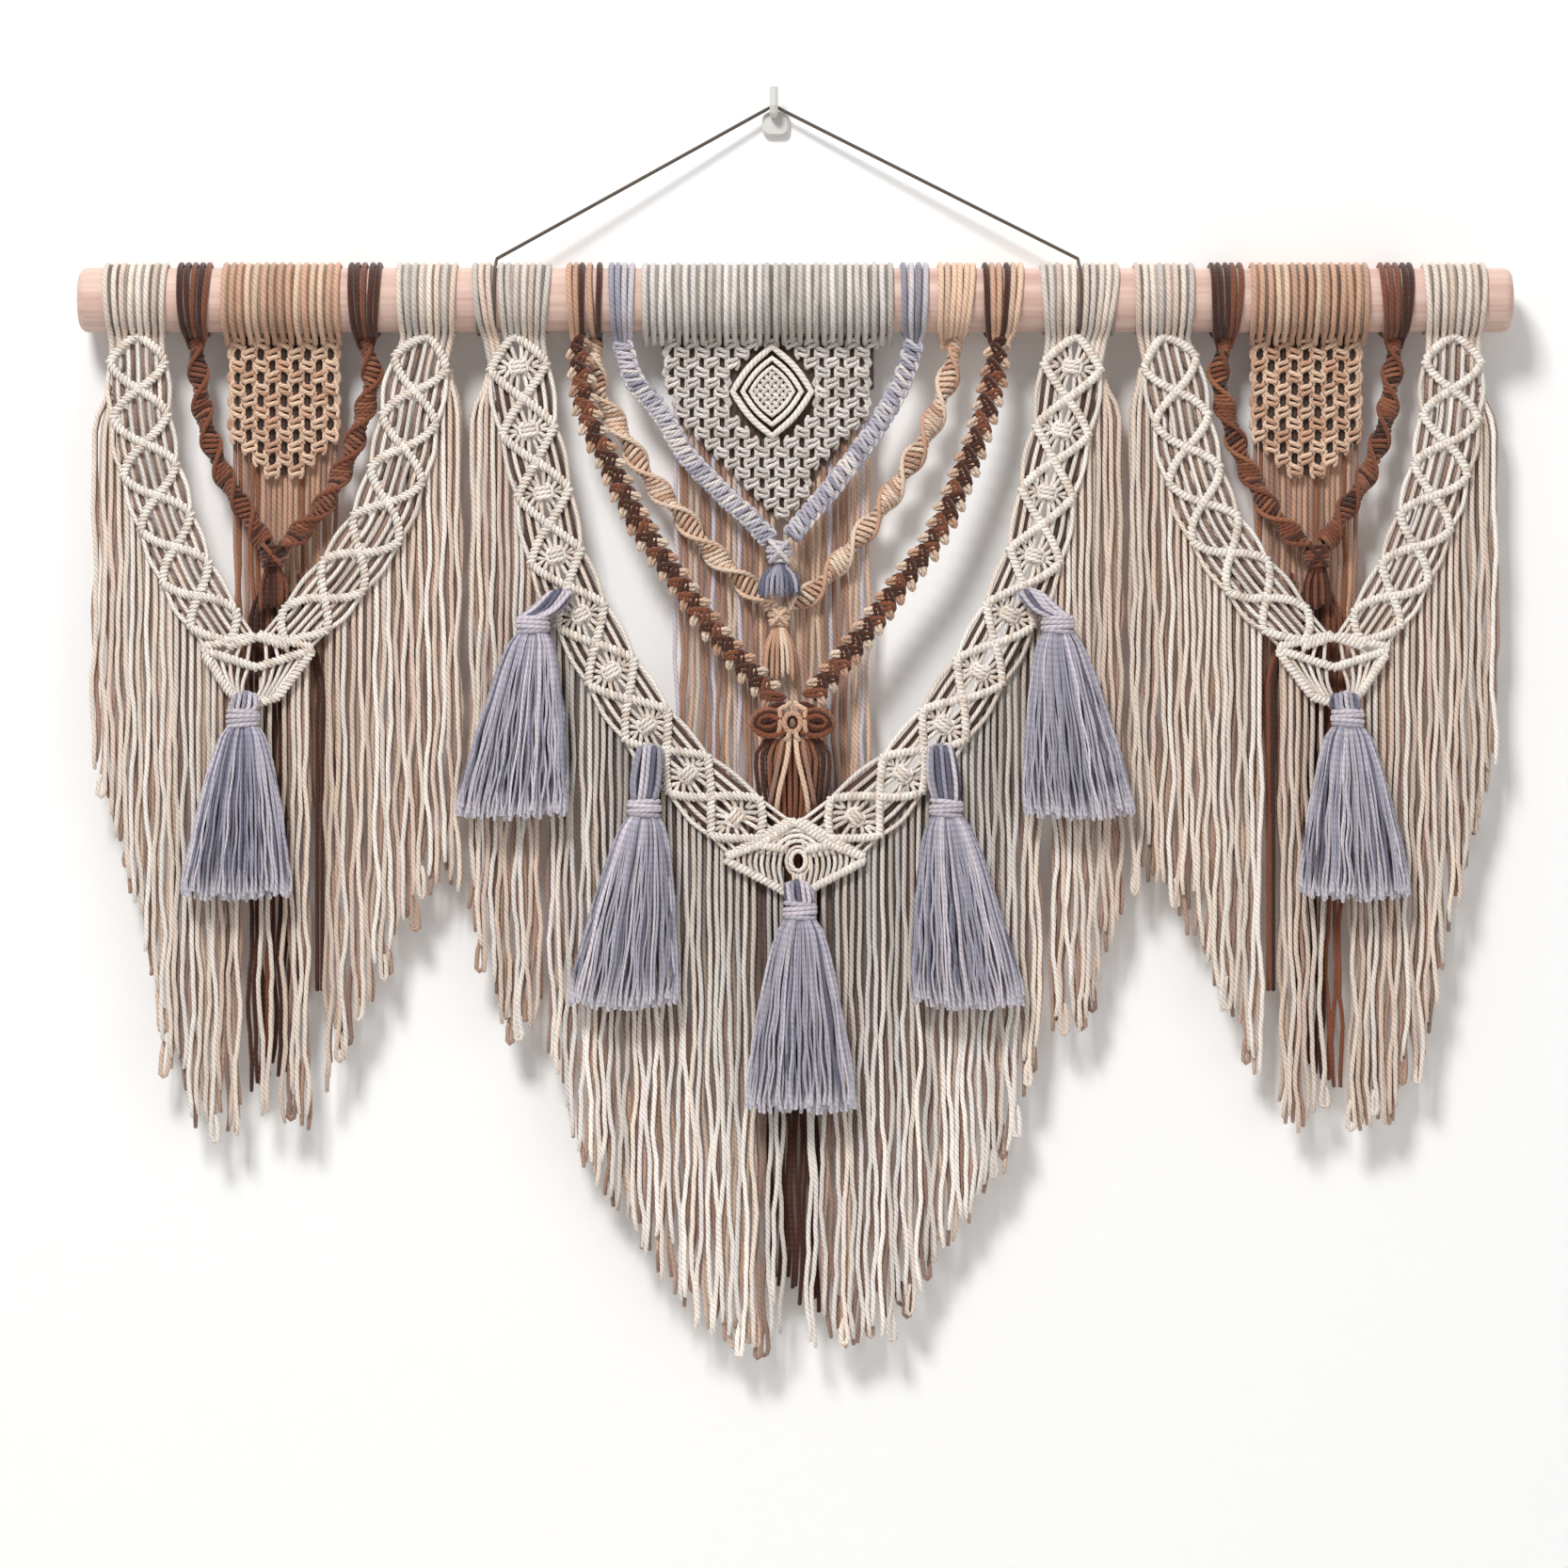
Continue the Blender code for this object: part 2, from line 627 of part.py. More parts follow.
def cross_row(bm, mirror, levels, position, shares):
    """Points across the strap at a place along it, counted in cells, from its larger side inwards."""
    low = min(int(position), len(levels) - 2)
    t = position - low
    side, drop, width = (a + (b - a) * t for a, b in zip(levels[low], levels[low + 1]))
    ahead = Vector(levels[low + 1][:2]) - Vector(levels[low][:2])
    if t == 0 and low > 0:
        ahead += Vector(levels[low][:2]) - Vector(levels[low - 1][:2])
    across = Vector((ahead.y, -ahead.x)).normalized()
    if position == 0:
        across = Vector((1, 0))
        drop = HEADER_TOP
    found = []
    for share in shares:
        reach = (0.5 - share) * width
        point = place(mirror * (side + across.x * reach), drop + across.y * reach, STRAP_Y)
        found.append(bm.verts.new(point))
    return found


def end_row(bm, mirror, end, notch_first):
    """The two corners of the strap's lower end, the one with the larger side first."""
    corners = [(end.outer_side, end.outer_drop), (end.notch_side, end.notch_drop)]
    if notch_first:
        corners.reverse()
    return [bm.verts.new(place(mirror * side, drop, STRAP_Y)) for side, drop in corners]


def swag_tip(name, mirror, rows):
    """The small net below the V of a swag."""
    bm = bmesh.new()
    bm.faces.new([bm.verts.new(place(mirror * row.side, row.drop, STRAP_Y)) for row in rows])
    thicken(new_object(name, bm, "cream_cord"), STRAP_THICKNESS)


def fringe(name, mirror, rows, teeth, colour, thickness, spine_y, hang_y):
    """A comb: an uncut strip along the top, and teeth of hanging cords with uneven ends."""
    bm = bmesh.new()
    first, last = rows[0].side, rows[-1].side
    sign = math.copysign(1, last - first)
    pitch = (abs(last - first) + FRINGE_SLIT) / teeth
    before = None
    for tooth in range(teeth):
        start = first + sign * pitch * tooth
        end = start + sign * (pitch - FRINGE_SLIT)
        uneven = FRINGE_UNEVEN * math.sin(2.4 * tooth)
        columns = []
        for side in (start, end):
            side = min(max(side, min(first, last)), max(first, last))
            top = value_at(rows, "top", side)
            hem = value_at(rows, "hem", side) + uneven
            levels = [(top, spine_y), (top + FRINGE_SPINE, spine_y), (hem, hang_y)]
            if spine_y != hang_y:
                levels.insert(2, (top + FRINGE_SPINE + FRINGE_SHOULDER, hang_y))
            columns.append([bm.verts.new(place(mirror * side, drop, y)) for drop, y in levels])
        for k in range(len(columns[0]) - 1):
            bm.faces.new((columns[0][k], columns[1][k], columns[1][k + 1], columns[0][k + 1]))
        if before:
            bm.faces.new((before[0], columns[0][0], columns[0][1], before[1]))
        before = columns[1]
    thicken(new_object(name, bm, colour), thickness)


def sheet(name, mirror, rows, colour):
    """A flat knotted panel with the given outline."""
    bm = bmesh.new()
    bm.faces.new([bm.verts.new(place(mirror * row.side, row.drop, PANEL_Y)) for row in rows])
    obj = new_object(name, bm, colour)
    thicken(obj, PANEL_THICKNESS)
    return obj


def medallion():
    """The raised diamond with round sides on the centre panel, as a helper for its union."""
    bm = bmesh.new()
    rings = []
    for y in (PANEL_Y, PANEL_Y - PANEL_THICKNESS / 2 - MEDALLION_PROUD):
        ring = []
        for k in range(16):
            angle = math.tau * k / 16
            square = 0.5 / (abs(math.cos(angle)) + abs(math.sin(angle)))
            reach = 0.55 * 0.5 + 0.45 * square
            side = MEDALLION_SIDE + MEDALLION_WIDE * reach * math.cos(angle)
            drop = MEDALLION_DROP + MEDALLION_HIGH * reach * math.sin(angle)
            ring.append(bm.verts.new(place(side, drop, y)))
        rings.append(ring)
    close_tube(bm, rings)
    return new_object("medallion", bm, "off_white_cord")


def centre_panel():
    """The square-knot panel with its medallion and two slits."""
    obj = sheet("centre_panel", 1, CENTRE_PANEL, "off_white_cord")
    boolean(obj, medallion(), "UNION")
    for number, away in enumerate((-SLIT_AWAY, SLIT_AWAY)):
        centre = place(MEDALLION_SIDE + away, MEDALLION_DROP, PANEL_Y)
        slit = block(f"slit_{number}", (SLIT_WIDE, 2 * PANEL_THICKNESS, SLIT_HIGH), centre)
        boolean(obj, slit, "DIFFERENCE")
    hung(obj, CENTRE_PANEL_WRAPS, "off_white_cord")


def bundle(name, mirror, rows, colour, sides=8):
    """A closed tube of oval rings, square to its middle line in the plane of the hanging."""
    bm = bmesh.new()
    rings = []
    for i, row in enumerate(rows):
        before, after = rows[max(i - 1, 0)], rows[min(i + 1, len(rows) - 1)]
        ahead = Vector((after[0] - before[0], after[1] - before[1])).normalized()
        side, drop, y, half_wide, half_deep = row
        ring = []
        for k in range(sides):
            angle = math.tau * (k + 0.5) / sides
            reach = half_wide * math.cos(angle)
            point = (side + ahead.y * reach, drop - ahead.x * reach, y + half_deep * math.sin(angle))
            ring.append(bm.verts.new(place(mirror * point[0], *point[1:])))
        rings.append(ring)
    close_tube(bm, rings)
    return new_object(name, bm, colour)


def sinnet(name, mirror, rows, knot, groups, pods, depth, colour):
    """A knotted sinnet from its wraps to its knot, in pods that narrow by a share between them."""
    last = Vector(rows[-1][:3])
    centre = Vector((knot.side, knot.drop, knot.y))
    near = centre + (last - centre).normalized() * knot.clear
    rows = smooth_rows([*rows, (*near, rows[-1].half_wide, rows[-1].half_deep)], pods * 2 + 1)
    shaped = []
    for i, (side, drop, y, half_wide, half_deep) in enumerate(rows):
        swell = 1 if i % 2 else 1 - depth
        shaped.append((side, drop, y, half_wide * swell, half_deep * swell))
    obj = bundle(name, mirror, shaped, colour, sides=6)
    hung(obj, groups, colour)


def knot_with_tuft(name, mirror, knot, colour):
    """A round gathering knot and the tuft of cord ends below it."""
    rows = []
    for share in (-0.95, -0.6, 0, 0.6):
        radius = knot.radius * math.sqrt(1 - share * share)
        rows.append((knot.side, knot.drop + knot.radius * share, knot.y, radius, radius * 0.8))
    neck = knot.drop + knot.radius
    rows.append((knot.side, neck, knot.y, knot.radius * 0.6, knot.tuft_half_deep))
    for share, wide in ((0.5, 0.8), (1, 1)):
        drop = neck + (knot.tuft_drop - neck) * share
        half_wide = knot.tuft_half_wide * wide
        rows.append((knot.side, drop, knot.tuft_y, half_wide, knot.tuft_half_deep))
    bundle(name, mirror, rows, colour)


def bow():
    """The bow where the chains meet: two loops and a round knot, along the side direction."""
    profile = (
        (-1, 0.35, 0.5),
        (-0.85, 0.85, 0.9),
        (-0.55, 1, 1),
        (-0.3, 0.6, 0.8),
        (-0.12, 0.9, 1),
        (0.12, 0.9, 1),
        (0.3, 0.6, 0.8),
        (0.55, 1, 1),
        (0.85, 0.85, 0.9),
        (1, 0.35, 0.5),
    )
    rows = []
    for along, high, deep in profile:
        side = BOW.side + BOW_HALF_WIDE * along
        rows.append((side, BOW.drop, BOW.y, BOW_HALF_HIGH * high, BOW_HALF_DEEP * deep))
    bundle("bow_knot", 1, rows, "brown_cord")


def tassel(name, mirror, row):
    """A tassel: its head on the net, the wrapped neck, and the skirt flaring to the hem."""
    head_y = STRAP_Y - STRAP_THICKNESS / 2 - GAP - TASSEL_HEAD
    skirt = row.neck_drop + TASSEL_BIND / 2
    fall = row.hem_drop - skirt
    lean = row.hem_side - row.neck_side
    rows = [
        (row.side, row.drop, head_y, TASSEL_HEAD, TASSEL_HEAD),
        (row.neck_side, row.neck_drop - TASSEL_BIND / 2, TASSEL_Y, TASSEL_NECK, TASSEL_DEEP * 0.8),
        (row.neck_side, skirt, TASSEL_Y, TASSEL_NECK, TASSEL_DEEP * 0.8),
        (row.neck_side + lean * 0.2, skirt + fall * 0.15, TASSEL_Y, TASSEL_HEM * 0.55, TASSEL_DEEP),
        (row.neck_side + lean * 0.6, skirt + fall * 0.5, TASSEL_Y, TASSEL_HEM * 0.82, TASSEL_DEEP),
        (row.hem_side, row.hem_drop, TASSEL_Y, TASSEL_HEM, TASSEL_DEEP),
    ]
    bundle(name, mirror, rows, "blue_grey_cord")


def straps_and_fringes():
    for word, mirror in (("left", -1), ("right", 1)):
        centre_wraps = CENTRE_STRAP_WRAPS_LEFT if mirror < 0 else CENTRE_STRAP_WRAPS_RIGHT
        outer_wraps = mirrored(OUTER_STRAP_WRAPS, mirror)
        inner_wraps = mirrored(INNER_STRAP_WRAPS, mirror)
        strap(f"outer_strap_{word}", mirror, OUTER_STRAP, OUTER_STRAP_END, SIDE_CELLS, outer_wraps)
        strap(f"inner_strap_{word}", mirror, INNER_STRAP, INNER_STRAP_END, SIDE_CELLS, inner_wraps)
        strap(f"centre_strap_{word}", mirror, CENTRE_STRAP, CENTRE_STRAP_END, CENTRE_CELLS, centre_wraps)
        swag_tip(f"swag_tip_{word}", mirror, SIDE_TIP)
        for part, rows, teeth in (
            ("outer", OUTER_FRINGE, 10),
            ("inner", INNER_FRINGE, 12),
            ("upper", UPPER_FRINGE, 4),
            ("centre", CENTRE_FRINGE, 14),
        ):
            fringe(
                f"{part}_fringe_{word}",
                mirror,
                rows,
                teeth,
                "cream_cord",
                FRINGE_THICKNESS,
                FRINGE_Y,
                FRINGE_Y,
            )
    swag_tip("swag_tip_centre", 1, CENTRE_TIP)


def mirrored(groups, mirror):
    """The wraps' places on the left or right, each from its lower side to its higher."""
    return [tuple(sorted((mirror * a, mirror * b))) for a, b in groups]


def side_panels():
    """The tan panels with their fringes, and the brown spirals that meet in front of them."""
    for word, mirror in (("left", -1), ("right", 1)):
        panel = sheet(f"tan_panel_{word}", mirror, TAN_PANEL, "tan_cord")
        hung(panel, mirrored(TAN_PANEL_WRAPS, mirror), "tan_cord")
        fringe(
            f"tan_fringe_{word}",
            mirror,
            TAN_FRINGE,
            6,
            "tan_cord",
            BACK_FRINGE_THICKNESS,
            BACK_SPINE_Y,
            BACK_FRINGE_Y,
        )
        for part, rows, groups, pods in (
            ("outer", OUTER_SPIRAL, OUTER_SPIRAL_WRAPS, 6),
            ("inner", INNER_SPIRAL, INNER_SPIRAL_WRAPS, 6),
        ):
            ends = mirrored(groups, mirror)
            sinnet(f"{part}_spiral_{word}", mirror, rows, BROWN_KNOT, ends, pods, 0.35, "brown_cord")
        knot_with_tuft(f"brown_knot_{word}", mirror, BROWN_KNOT, "brown_cord")
        fringe(
            f"brown_fringe_{word}",
            mirror,
            BROWN_FRINGE,
            4,
            "brown_cord",
            BROWN_FRINGE_THICKNESS,
            BROWN_SPINE_Y,
            BROWN_FRINGE_Y,
        )


def centre_pieces():
    """The centre panel with its fringes, and the three pairs of sinnets round it."""
    centre_panel()
    for word, rows in (("left", PANEL_FRINGE_LEFT), ("right", PANEL_FRINGE_RIGHT)):
        fringe(
            f"panel_fringe_{word}",
            1,
            rows,
            5,
            "pink_tan_cord",
            BACK_FRINGE_THICKNESS,
            BACK_SPINE_Y,
            BACK_FRINGE_Y,
        )
    for name, rows, knot, groups, pods, depth, colour in (
        ("blue_sinnet_left", BLUE_SINNET_LEFT, BLUE_KNOT, BLUE_WRAPS_LEFT, 6, 0.1, "blue_white_cord"),
        ("blue_sinnet_right", BLUE_SINNET_RIGHT, BLUE_KNOT, BLUE_WRAPS_RIGHT, 6, 0.1, "blue_white_cord"),
        ("tan_sinnet_left", TAN_SINNET_LEFT, TAN_KNOT, TAN_WRAPS_LEFT, 9, 0.4, "tan_cord"),
        ("tan_sinnet_right", TAN_SINNET_RIGHT, TAN_KNOT, TAN_WRAPS_RIGHT, 9, 0.4, "tan_cord"),
        ("chain_left", CHAIN_LEFT, BOW, CHAIN_WRAPS_LEFT, 8, 0.1, "brown_tan_cord"),
        ("chain_right", CHAIN_RIGHT, BOW, CHAIN_WRAPS_RIGHT, 8, 0.1, "brown_tan_cord"),
    ):
        sinnet(name, 1, rows, knot, groups, pods, depth, colour)
    knot_with_tuft("blue_knot", 1, BLUE_KNOT, "blue_white_cord")
    knot_with_tuft("tan_knot", 1, TAN_KNOT, "tan_cord")
    bow()
    fringe(
        "bow_fringe",
        1,
        BOW_FRINGE,
        4,
        "brown_cord",
        BROWN_FRINGE_THICKNESS,
        BOW.y + 2,
        BROWN_FRINGE_Y,
    )


def tassels():
    for row in SIDE_TASSELS:
        tassel(f"{row.name}_tassel_left", -1, row)
        tassel(f"{row.name}_tassel_right", 1, row)
    tassel("centre_tassel", 1, CENTRE_TASSEL)


for old in list(bpy.data.objects):
    bpy.data.objects.remove(old)
bpy.context.scene.unit_settings.scale_length = 1
rod()
wall_hook()
hanging_string()
straps_and_fringes()
side_panels()
centre_pieces()
tassels()
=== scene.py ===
import math
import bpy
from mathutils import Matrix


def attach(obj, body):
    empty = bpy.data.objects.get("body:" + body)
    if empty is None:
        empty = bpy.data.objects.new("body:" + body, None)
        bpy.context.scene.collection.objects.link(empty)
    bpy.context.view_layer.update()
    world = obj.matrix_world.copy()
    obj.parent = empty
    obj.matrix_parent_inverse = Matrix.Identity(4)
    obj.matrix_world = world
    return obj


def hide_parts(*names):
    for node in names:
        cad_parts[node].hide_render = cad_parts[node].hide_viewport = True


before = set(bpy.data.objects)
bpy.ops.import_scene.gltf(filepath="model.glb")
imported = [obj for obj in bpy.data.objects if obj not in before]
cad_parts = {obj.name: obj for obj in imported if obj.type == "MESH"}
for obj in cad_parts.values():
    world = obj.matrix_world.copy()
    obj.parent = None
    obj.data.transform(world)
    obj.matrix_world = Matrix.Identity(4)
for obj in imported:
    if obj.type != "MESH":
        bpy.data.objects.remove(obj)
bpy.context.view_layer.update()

import zlib
from collections import namedtuple

import bpy
import numpy as np

# Lengths are in millimetres: side is measured to the right from the hanging's middle line, drop downwards
# from the rod's axis, and y from the wall, as in the solid model. A place is (side, drop, y).
MM = 0.001
MIDDLE, ROD_DROP = 11, 107
ROD_RADIUS, ROD_Y = 18, -23
PHOTO_PIXELS, PIXEL, PHOTO_MIDDLE, PHOTO_ROD = 1666, 0.52528, 845, 318
LENS, SENSOR, CLIP_END = 120, 36, 50
LIGHTS_AIM = (0, 0, -0.35)
STRAP_Y = -28.3
FRINGE_FRONT_Y, FRINGE_BACK_Y = -24.7, -21.7
PANEL_Y = -20
BROWN_FRINGE_Y, BACK_FRINGE_Y, BACK_SPINE_Y = -18, -14.2, -16.2
TASSEL_Y = -40

# The wraps round the rod: loosely laid ones have cords in their gaps, closer to the rod and darkened as
# painted shade.
WRAP_RADIUS, WRAP_CORD = 19.7, 1.66
WRAP_PITCH, TIGHT_PITCH = 4.55, 3.85
GAP_CORD, GAP_DEPTH, GAP_SHADE = 1.35, 0.6, 0.34
GATHER_DROP = 27

# Each strap's middle line as (side, drop, width), and the corners of its lower end, the larger side first.
OUTER_STRAP = [(367.5, 20, 37), (365, 69, 37), (357, 106, 36), (344, 143, 34), (331, 169, 32),
               (316, 190.7, 32)]
INNER_STRAP = [(205.5, 20, 35), (213, 53, 36), (219, 85, 36), (231, 122, 35), (247, 147, 34), (262, 166, 33),
               (284, 190.7, 32)]
CENTRE_STRAP = [(157, 20, 40), (149, 72, 36), (142, 100, 35), (132, 148, 35), (107, 200, 35), (84, 236, 35),
                (57, 268, 36), (20, 301, 44)]
OUTER_END = ((332, 194.4), (300.2, 187))
INNER_END = ((299.8, 187), (268, 194.4))
CENTRE_END = ((39.4, 312), (0.2, 289.4))
SIDE_CELLS, CENTRE_CELLS = 6, 9
CORNER = 0.84
RIDGE_Y, RIDGE_PITCH, RIDGE_SIZE, RIDGE_CORD = STRAP_Y - 1.3, 2.5, 1.45, 1.35

# The fringes, as (side, top, hem).
OUTER_FRINGE = [(393, 45, 255), (380, 60, 300), (367, 110, 345), (350, 150, 430), (333, 183, 463),
                (318, 204, 463), (305.7, 214, 463)]
INNER_FRINGE = [(304.3, 214, 463), (285, 200, 463), (270, 182, 460), (255, 165, 425), (240, 138, 395),
                (225, 104, 362), (210, 60, 335), (197, 45, 322), (187, 36, 335)]
UPPER_FRINGE = [(182, 40, 345), (172, 42, 375), (165, 62, 404), (158, 94, 408), (144.5, 140, 405)]
CENTRE_FRINGE = [(136, 158, 420), (120, 188, 480), (100, 222, 510), (80, 252, 533), (60, 276, 570),
                 (40, 297, 581), (20, 312, 587), (0.8, 318, 586)]
TAN_FRINGE = [(317, 66, 284), (288, 90, 290), (255, 66, 284)]
BROWN_FRINGE = [(308, 152, 440), (276, 152, 425)]
PANEL_FRINGE_LEFT = [(-70, 56, 296), (-40, 88, 320), (-10, 118, 345)]
PANEL_FRINGE_RIGHT = [(-8.5, 118, 345), (20, 86, 330), (44, 56, 300)]
BOW_FRINGE = [(-18, 243.8, 555), (15, 243.8, 565)]
FRINGE_STEP, FADE_FALL = 8, 210
THIN_CORD, BACK_PITCH = 1.4, 3.1

TAN_PANEL = [(318, 19.2), (318, 80), (288, 103.5), (254, 80), (254, 19.2)]
CENTRE_PANEL = [(-76, 19.2), (-68, 67), (-9, 128), (41.5, 64), (45.7, 19.2)]
MEDALLION_SIDE, MEDALLION_DROP, MEDALLION_WIDE, MEDALLION_HIGH = -13, 51, 47, 53
SLIT_AWAY, SLIT_HIGH = 24.5, 14
RING_STEPS, WEAVE_HALF, WEAVE_COUNT = 28, 7.6, 5

# The middle lines of the knotted sinnets, as places.
OUTER_SPIRAL = [(335, 21, -24), (335, 26, -22), (331, 64, -20), (320.5, 95.6, -23), (307, 118, -25),
                (296.5, 136, -26.5)]
INNER_SPIRAL = [(240, 21, -24), (240, 26, -21), (237, 44, -19.8), (247, 80, -19.8), (262, 112, -23.5),
                (276, 129, -26), (286.5, 139, -26.7)]
BLUE_LEFT = [(-96.6, 21, -26), (-96, 26, -28), (-89.8, 46, -29), (-76.7, 61, -29), (-60.4, 87, -29),
             (-42, 107, -29), (-23.6, 124, -29), (-14, 135, -31)]
BLUE_RIGHT = [(66.7, 21, -26), (66, 26, -28), (61.5, 41, -29), (50.4, 63, -29), (35.7, 85, -29),
              (18.9, 107, -29), (4, 124, -29), (-4, 135, -31)]
TAN_LEFT = [(-111.9, 21, -21), (-110.8, 48, -21), (-102.4, 65, -22), (-82.5, 98, -22), (-64, 120, -22),
            (-47.3, 140, -22), (-27.3, 159, -22), (-14, 171, -22)]
TAN_RIGHT = [(90.3, 21, -22), (85, 45, -22), (76, 70, -22), (61.5, 96, -22), (45.7, 120, -22),
             (28.4, 142, -22), (11, 162, -22), (-4, 172, -22)]
CHAIN_LEFT = [(-121.6, 21, -26), (-121, 27, -30), (-119.2, 42, -34), (-115.6, 65, -34),
              (-104.5, 90, -34), (-86, 127, -34), (-65.7, 157, -34), (-47.3, 183, -34),
              (-31, 202, -34), (-17, 217, -34), (-11, 225, -34)]
CHAIN_RIGHT = [(114, 21, -26), (113, 27, -30), (110.8, 43, -34), (105.6, 65, -34), (94.6, 96, -34),
               (77.7, 133, -34), (57.8, 160, -34), (37.3, 188, -34), (13.8, 217, -34), (8, 225, -34)]
FILLER_STEP, CHAIN_PITCH = 7, 5.1

Knot = namedtuple("Knot", "side drop y radius tuft_drop tuft_y tuft_wide tuft_deep")
BROWN_KNOT = Knot(291.5, 143, -27, 7.5, 172, -24.6, 8, 0.6)
BLUE_KNOT = Knot(-8.9, 141, -32.5, 7.5, 165, -32.5, 12, 2.4)
TAN_KNOT = Knot(-8.9, 176.5, -22.5, 6.5, 212, -22, 10, 2.4)
BOW_SIDE, BOW_DROP, BOW_Y = -1.6, 236, -34

Tassel = namedtuple("Tassel", "name side drop neck_side neck_drop hem_side hem_drop")
SIDE_TASSELS = [Tassel("outer", 306, 223, 307, 234, 311, 334.6),
                Tassel("upper", 131, 166, 146, 182, 158, 289.5),
                Tassel("lower", 81, 253, 84, 284, 96, 395)]
CENTRE_TASSEL = Tassel("centre", 1, 328, 2.6, 341, 2.6, 452.8)
SKIRT_NECK, SKIRT_HEM, SKIRT_DEEP, SKIRT_STEPS = 6.84, 29.4, 9, 14

# The string's turns round the rod and its straight runs to the hook's peg.
STRING_RADIUS, STRING_GAP = 1, 0.3
STRING_TIES = (-167.5, 158.6)
STRING_TURN_START, STRING_TURN_STEPS = 280, 14
STRING_SLOPE, STRING_SPACING = 0.56, 11
PEG_SIDE, PEG_REST_Y, PEG_TOP_Z = -1, -7, 2.9

# Colours of the cords as they look in plain light, from 0 to 255, apart from the brightest cream, a painted
# highlight, and the shade colours, painted shade.
# Painted highlight: a lighter cream for the ridges, which stand forward into the light.
HIGHLIGHT_CREAM = (252, 243, 231)
CREAM = (245, 235, 225)
CREAM_WARM = (234, 218, 203)
CREAM_PINK = (222, 199, 182)
BEIGE = (208, 184, 165)
# Painted shade: darker colours for cords that lie back or behind others, in their shadow.
SHADED_PINK = (182, 150, 132)
SHADE_DEEP = (150, 122, 108)
SHADE_DARK = (92, 68, 56)
LILAC_WHITE = (229, 220, 214)
GREY_WHITE = (210, 200, 191)
TAN = (206, 162, 134)
TAN_LIGHT = (229, 195, 168)
TAN_PALE = (238, 212, 188)
BROWN = (128, 73, 48)
BROWN_DARK = (76, 38, 22)
BROWN_LIGHT = (152, 96, 66)
BLUE_WHITE = (206, 200, 206)
BLUE_GREY = (155, 152, 166)
BLUE_PALE = (184, 178, 190)
BLUE_DEEP = (104, 102, 122)
LILAC = (210, 200, 208)
LILAC_LIGHT = (226, 220, 230)
STRING_GREY = (96, 85, 76)
PINK_TAN = (210, 175, 152)
PINK_BROWN = (172, 132, 112)
NET_CREAM = (CREAM, CREAM, CREAM_WARM)
# The ridges' colours: plain cream mixed with the painted-highlight cream.
RIDGE_CREAM_HIGHLIT = (HIGHLIGHT_CREAM, HIGHLIGHT_CREAM, *NET_CREAM)


def linear(colour):
    """A colour given from 0 to 255, in linear light."""
    share = np.asarray(colour, float) / 255
    return np.where(share <= 0.04045, share / 12.92, ((share + 0.055) / 1.055) ** 2.4)


def metres(places):
    """Places of the hanging as points of the frame, in metres."""
    places = np.asarray(places, float)
    side, drop, y = places[..., 0], places[..., 1], places[..., 2]
    return np.stack([MIDDLE + side, y, -(ROD_DROP + drop)], -1) * MM


def unit(vectors):
    return vectors / np.linalg.norm(vectors, axis=-1, keepdims=True)


def beside(ahead):
    """The direction across a line in the plane of the hanging."""
    return np.array([ahead[1], -ahead[0], 0])


def between(rows, at, wanted):
    """The row at a wanted value of at, which grows from row to row."""
    return np.array([np.interp(wanted, at, column) for column in rows.T])


def distances(rows):
    """How far along a line each of its rows is."""
    return np.concatenate([[0], np.cumsum(np.linalg.norm(np.diff(rows[:, :3], axis=0), axis=1))])


def smooth(rows, spacing):
    """A smooth line through rows of numbers, with a row about every spacing millimetres."""
    rows = np.asarray(rows, float)
    padded = np.vstack([2 * rows[0] - rows[1], rows, 2 * rows[-1] - rows[-2]])
    t = np.linspace(0, 1, 8, endpoint=False)[:, None]
    fine = []
    for i in range(len(rows) - 1):
        a, b, c, d = padded[i:i + 4]
        fine.append(b + 0.5 * t * (c - a + t * (2 * a - 5 * b + 4 * c - d + t * (3 * (b - c) + d - a))))
    fine = np.vstack([*fine, rows[-1:]])
    along = distances(fine)
    count = max(2, round(along[-1] / spacing) + 1)
    return between(fine, along, np.linspace(0, along[-1], count)).T.copy()


class Line:
    """A middle line in the plane of the hanging, with places found by the distance along it."""

    def __init__(self, rows):
        self.rows = smooth(rows, 2)
        self.along = distances(self.rows[:, :2])
        self.length = self.along[-1]
        self.ahead = unit(np.gradient(self.rows[:, :2], self.along, axis=0))

    def at(self, distance):
        """The row at a distance, the direction ahead there, and the direction across."""
        ahead = unit(between(self.ahead, self.along, distance))
        return between(self.rows, self.along, distance), np.array([*ahead, 0]), beside(ahead)

    def filler(self, reach, deeper=0.0):
        """Places of a straight cord that runs beside the line."""
        spots = [self.at(distance) for distance in np.arange(0, self.length, FILLER_STEP)]
        return [row + across * reach + (0, 0, deeper) for row, _, across in spots]


class Net:
    """A strap's own places: u across it from -1 to 1, and v along it in cells."""

    def __init__(self, rows, end, cells):
        line = Line(rows)
        self.cells = cells
        self.v = np.linspace(0, cells, cells * 6 + 1)
        corners = []
        for v in self.v:
            row, _, across = line.at(line.length * min(v, cells - 1) / cells)
            reach = (across[:2] if v else np.array([1, 0])) * row[2] / 2
            pair = np.array([row[:2] + reach, row[:2] - reach])
            corners.append(pair + (np.array(end) - pair) * max(0, v - cells + 1))
        self.first, self.last = np.array(corners).swapaxes(0, 1)

    def at(self, u, v):
        """The side and drop of a place."""
        first, last = between(self.first, self.v, v), between(self.last, self.v, v)
        return (first + last) / 2 + (first - last) / 2 * u

    def places(self, pairs, y):
        """Places for pairs of u and v, all at one y."""
        return [(*self.at(u, v), y) for u, v in pairs]

    def edge(self, larger, drop):
        """The side of one of the strap's edges at a drop."""
        line = self.first if larger else self.last
        return np.interp(drop, line[:, 1], line[:, 0])


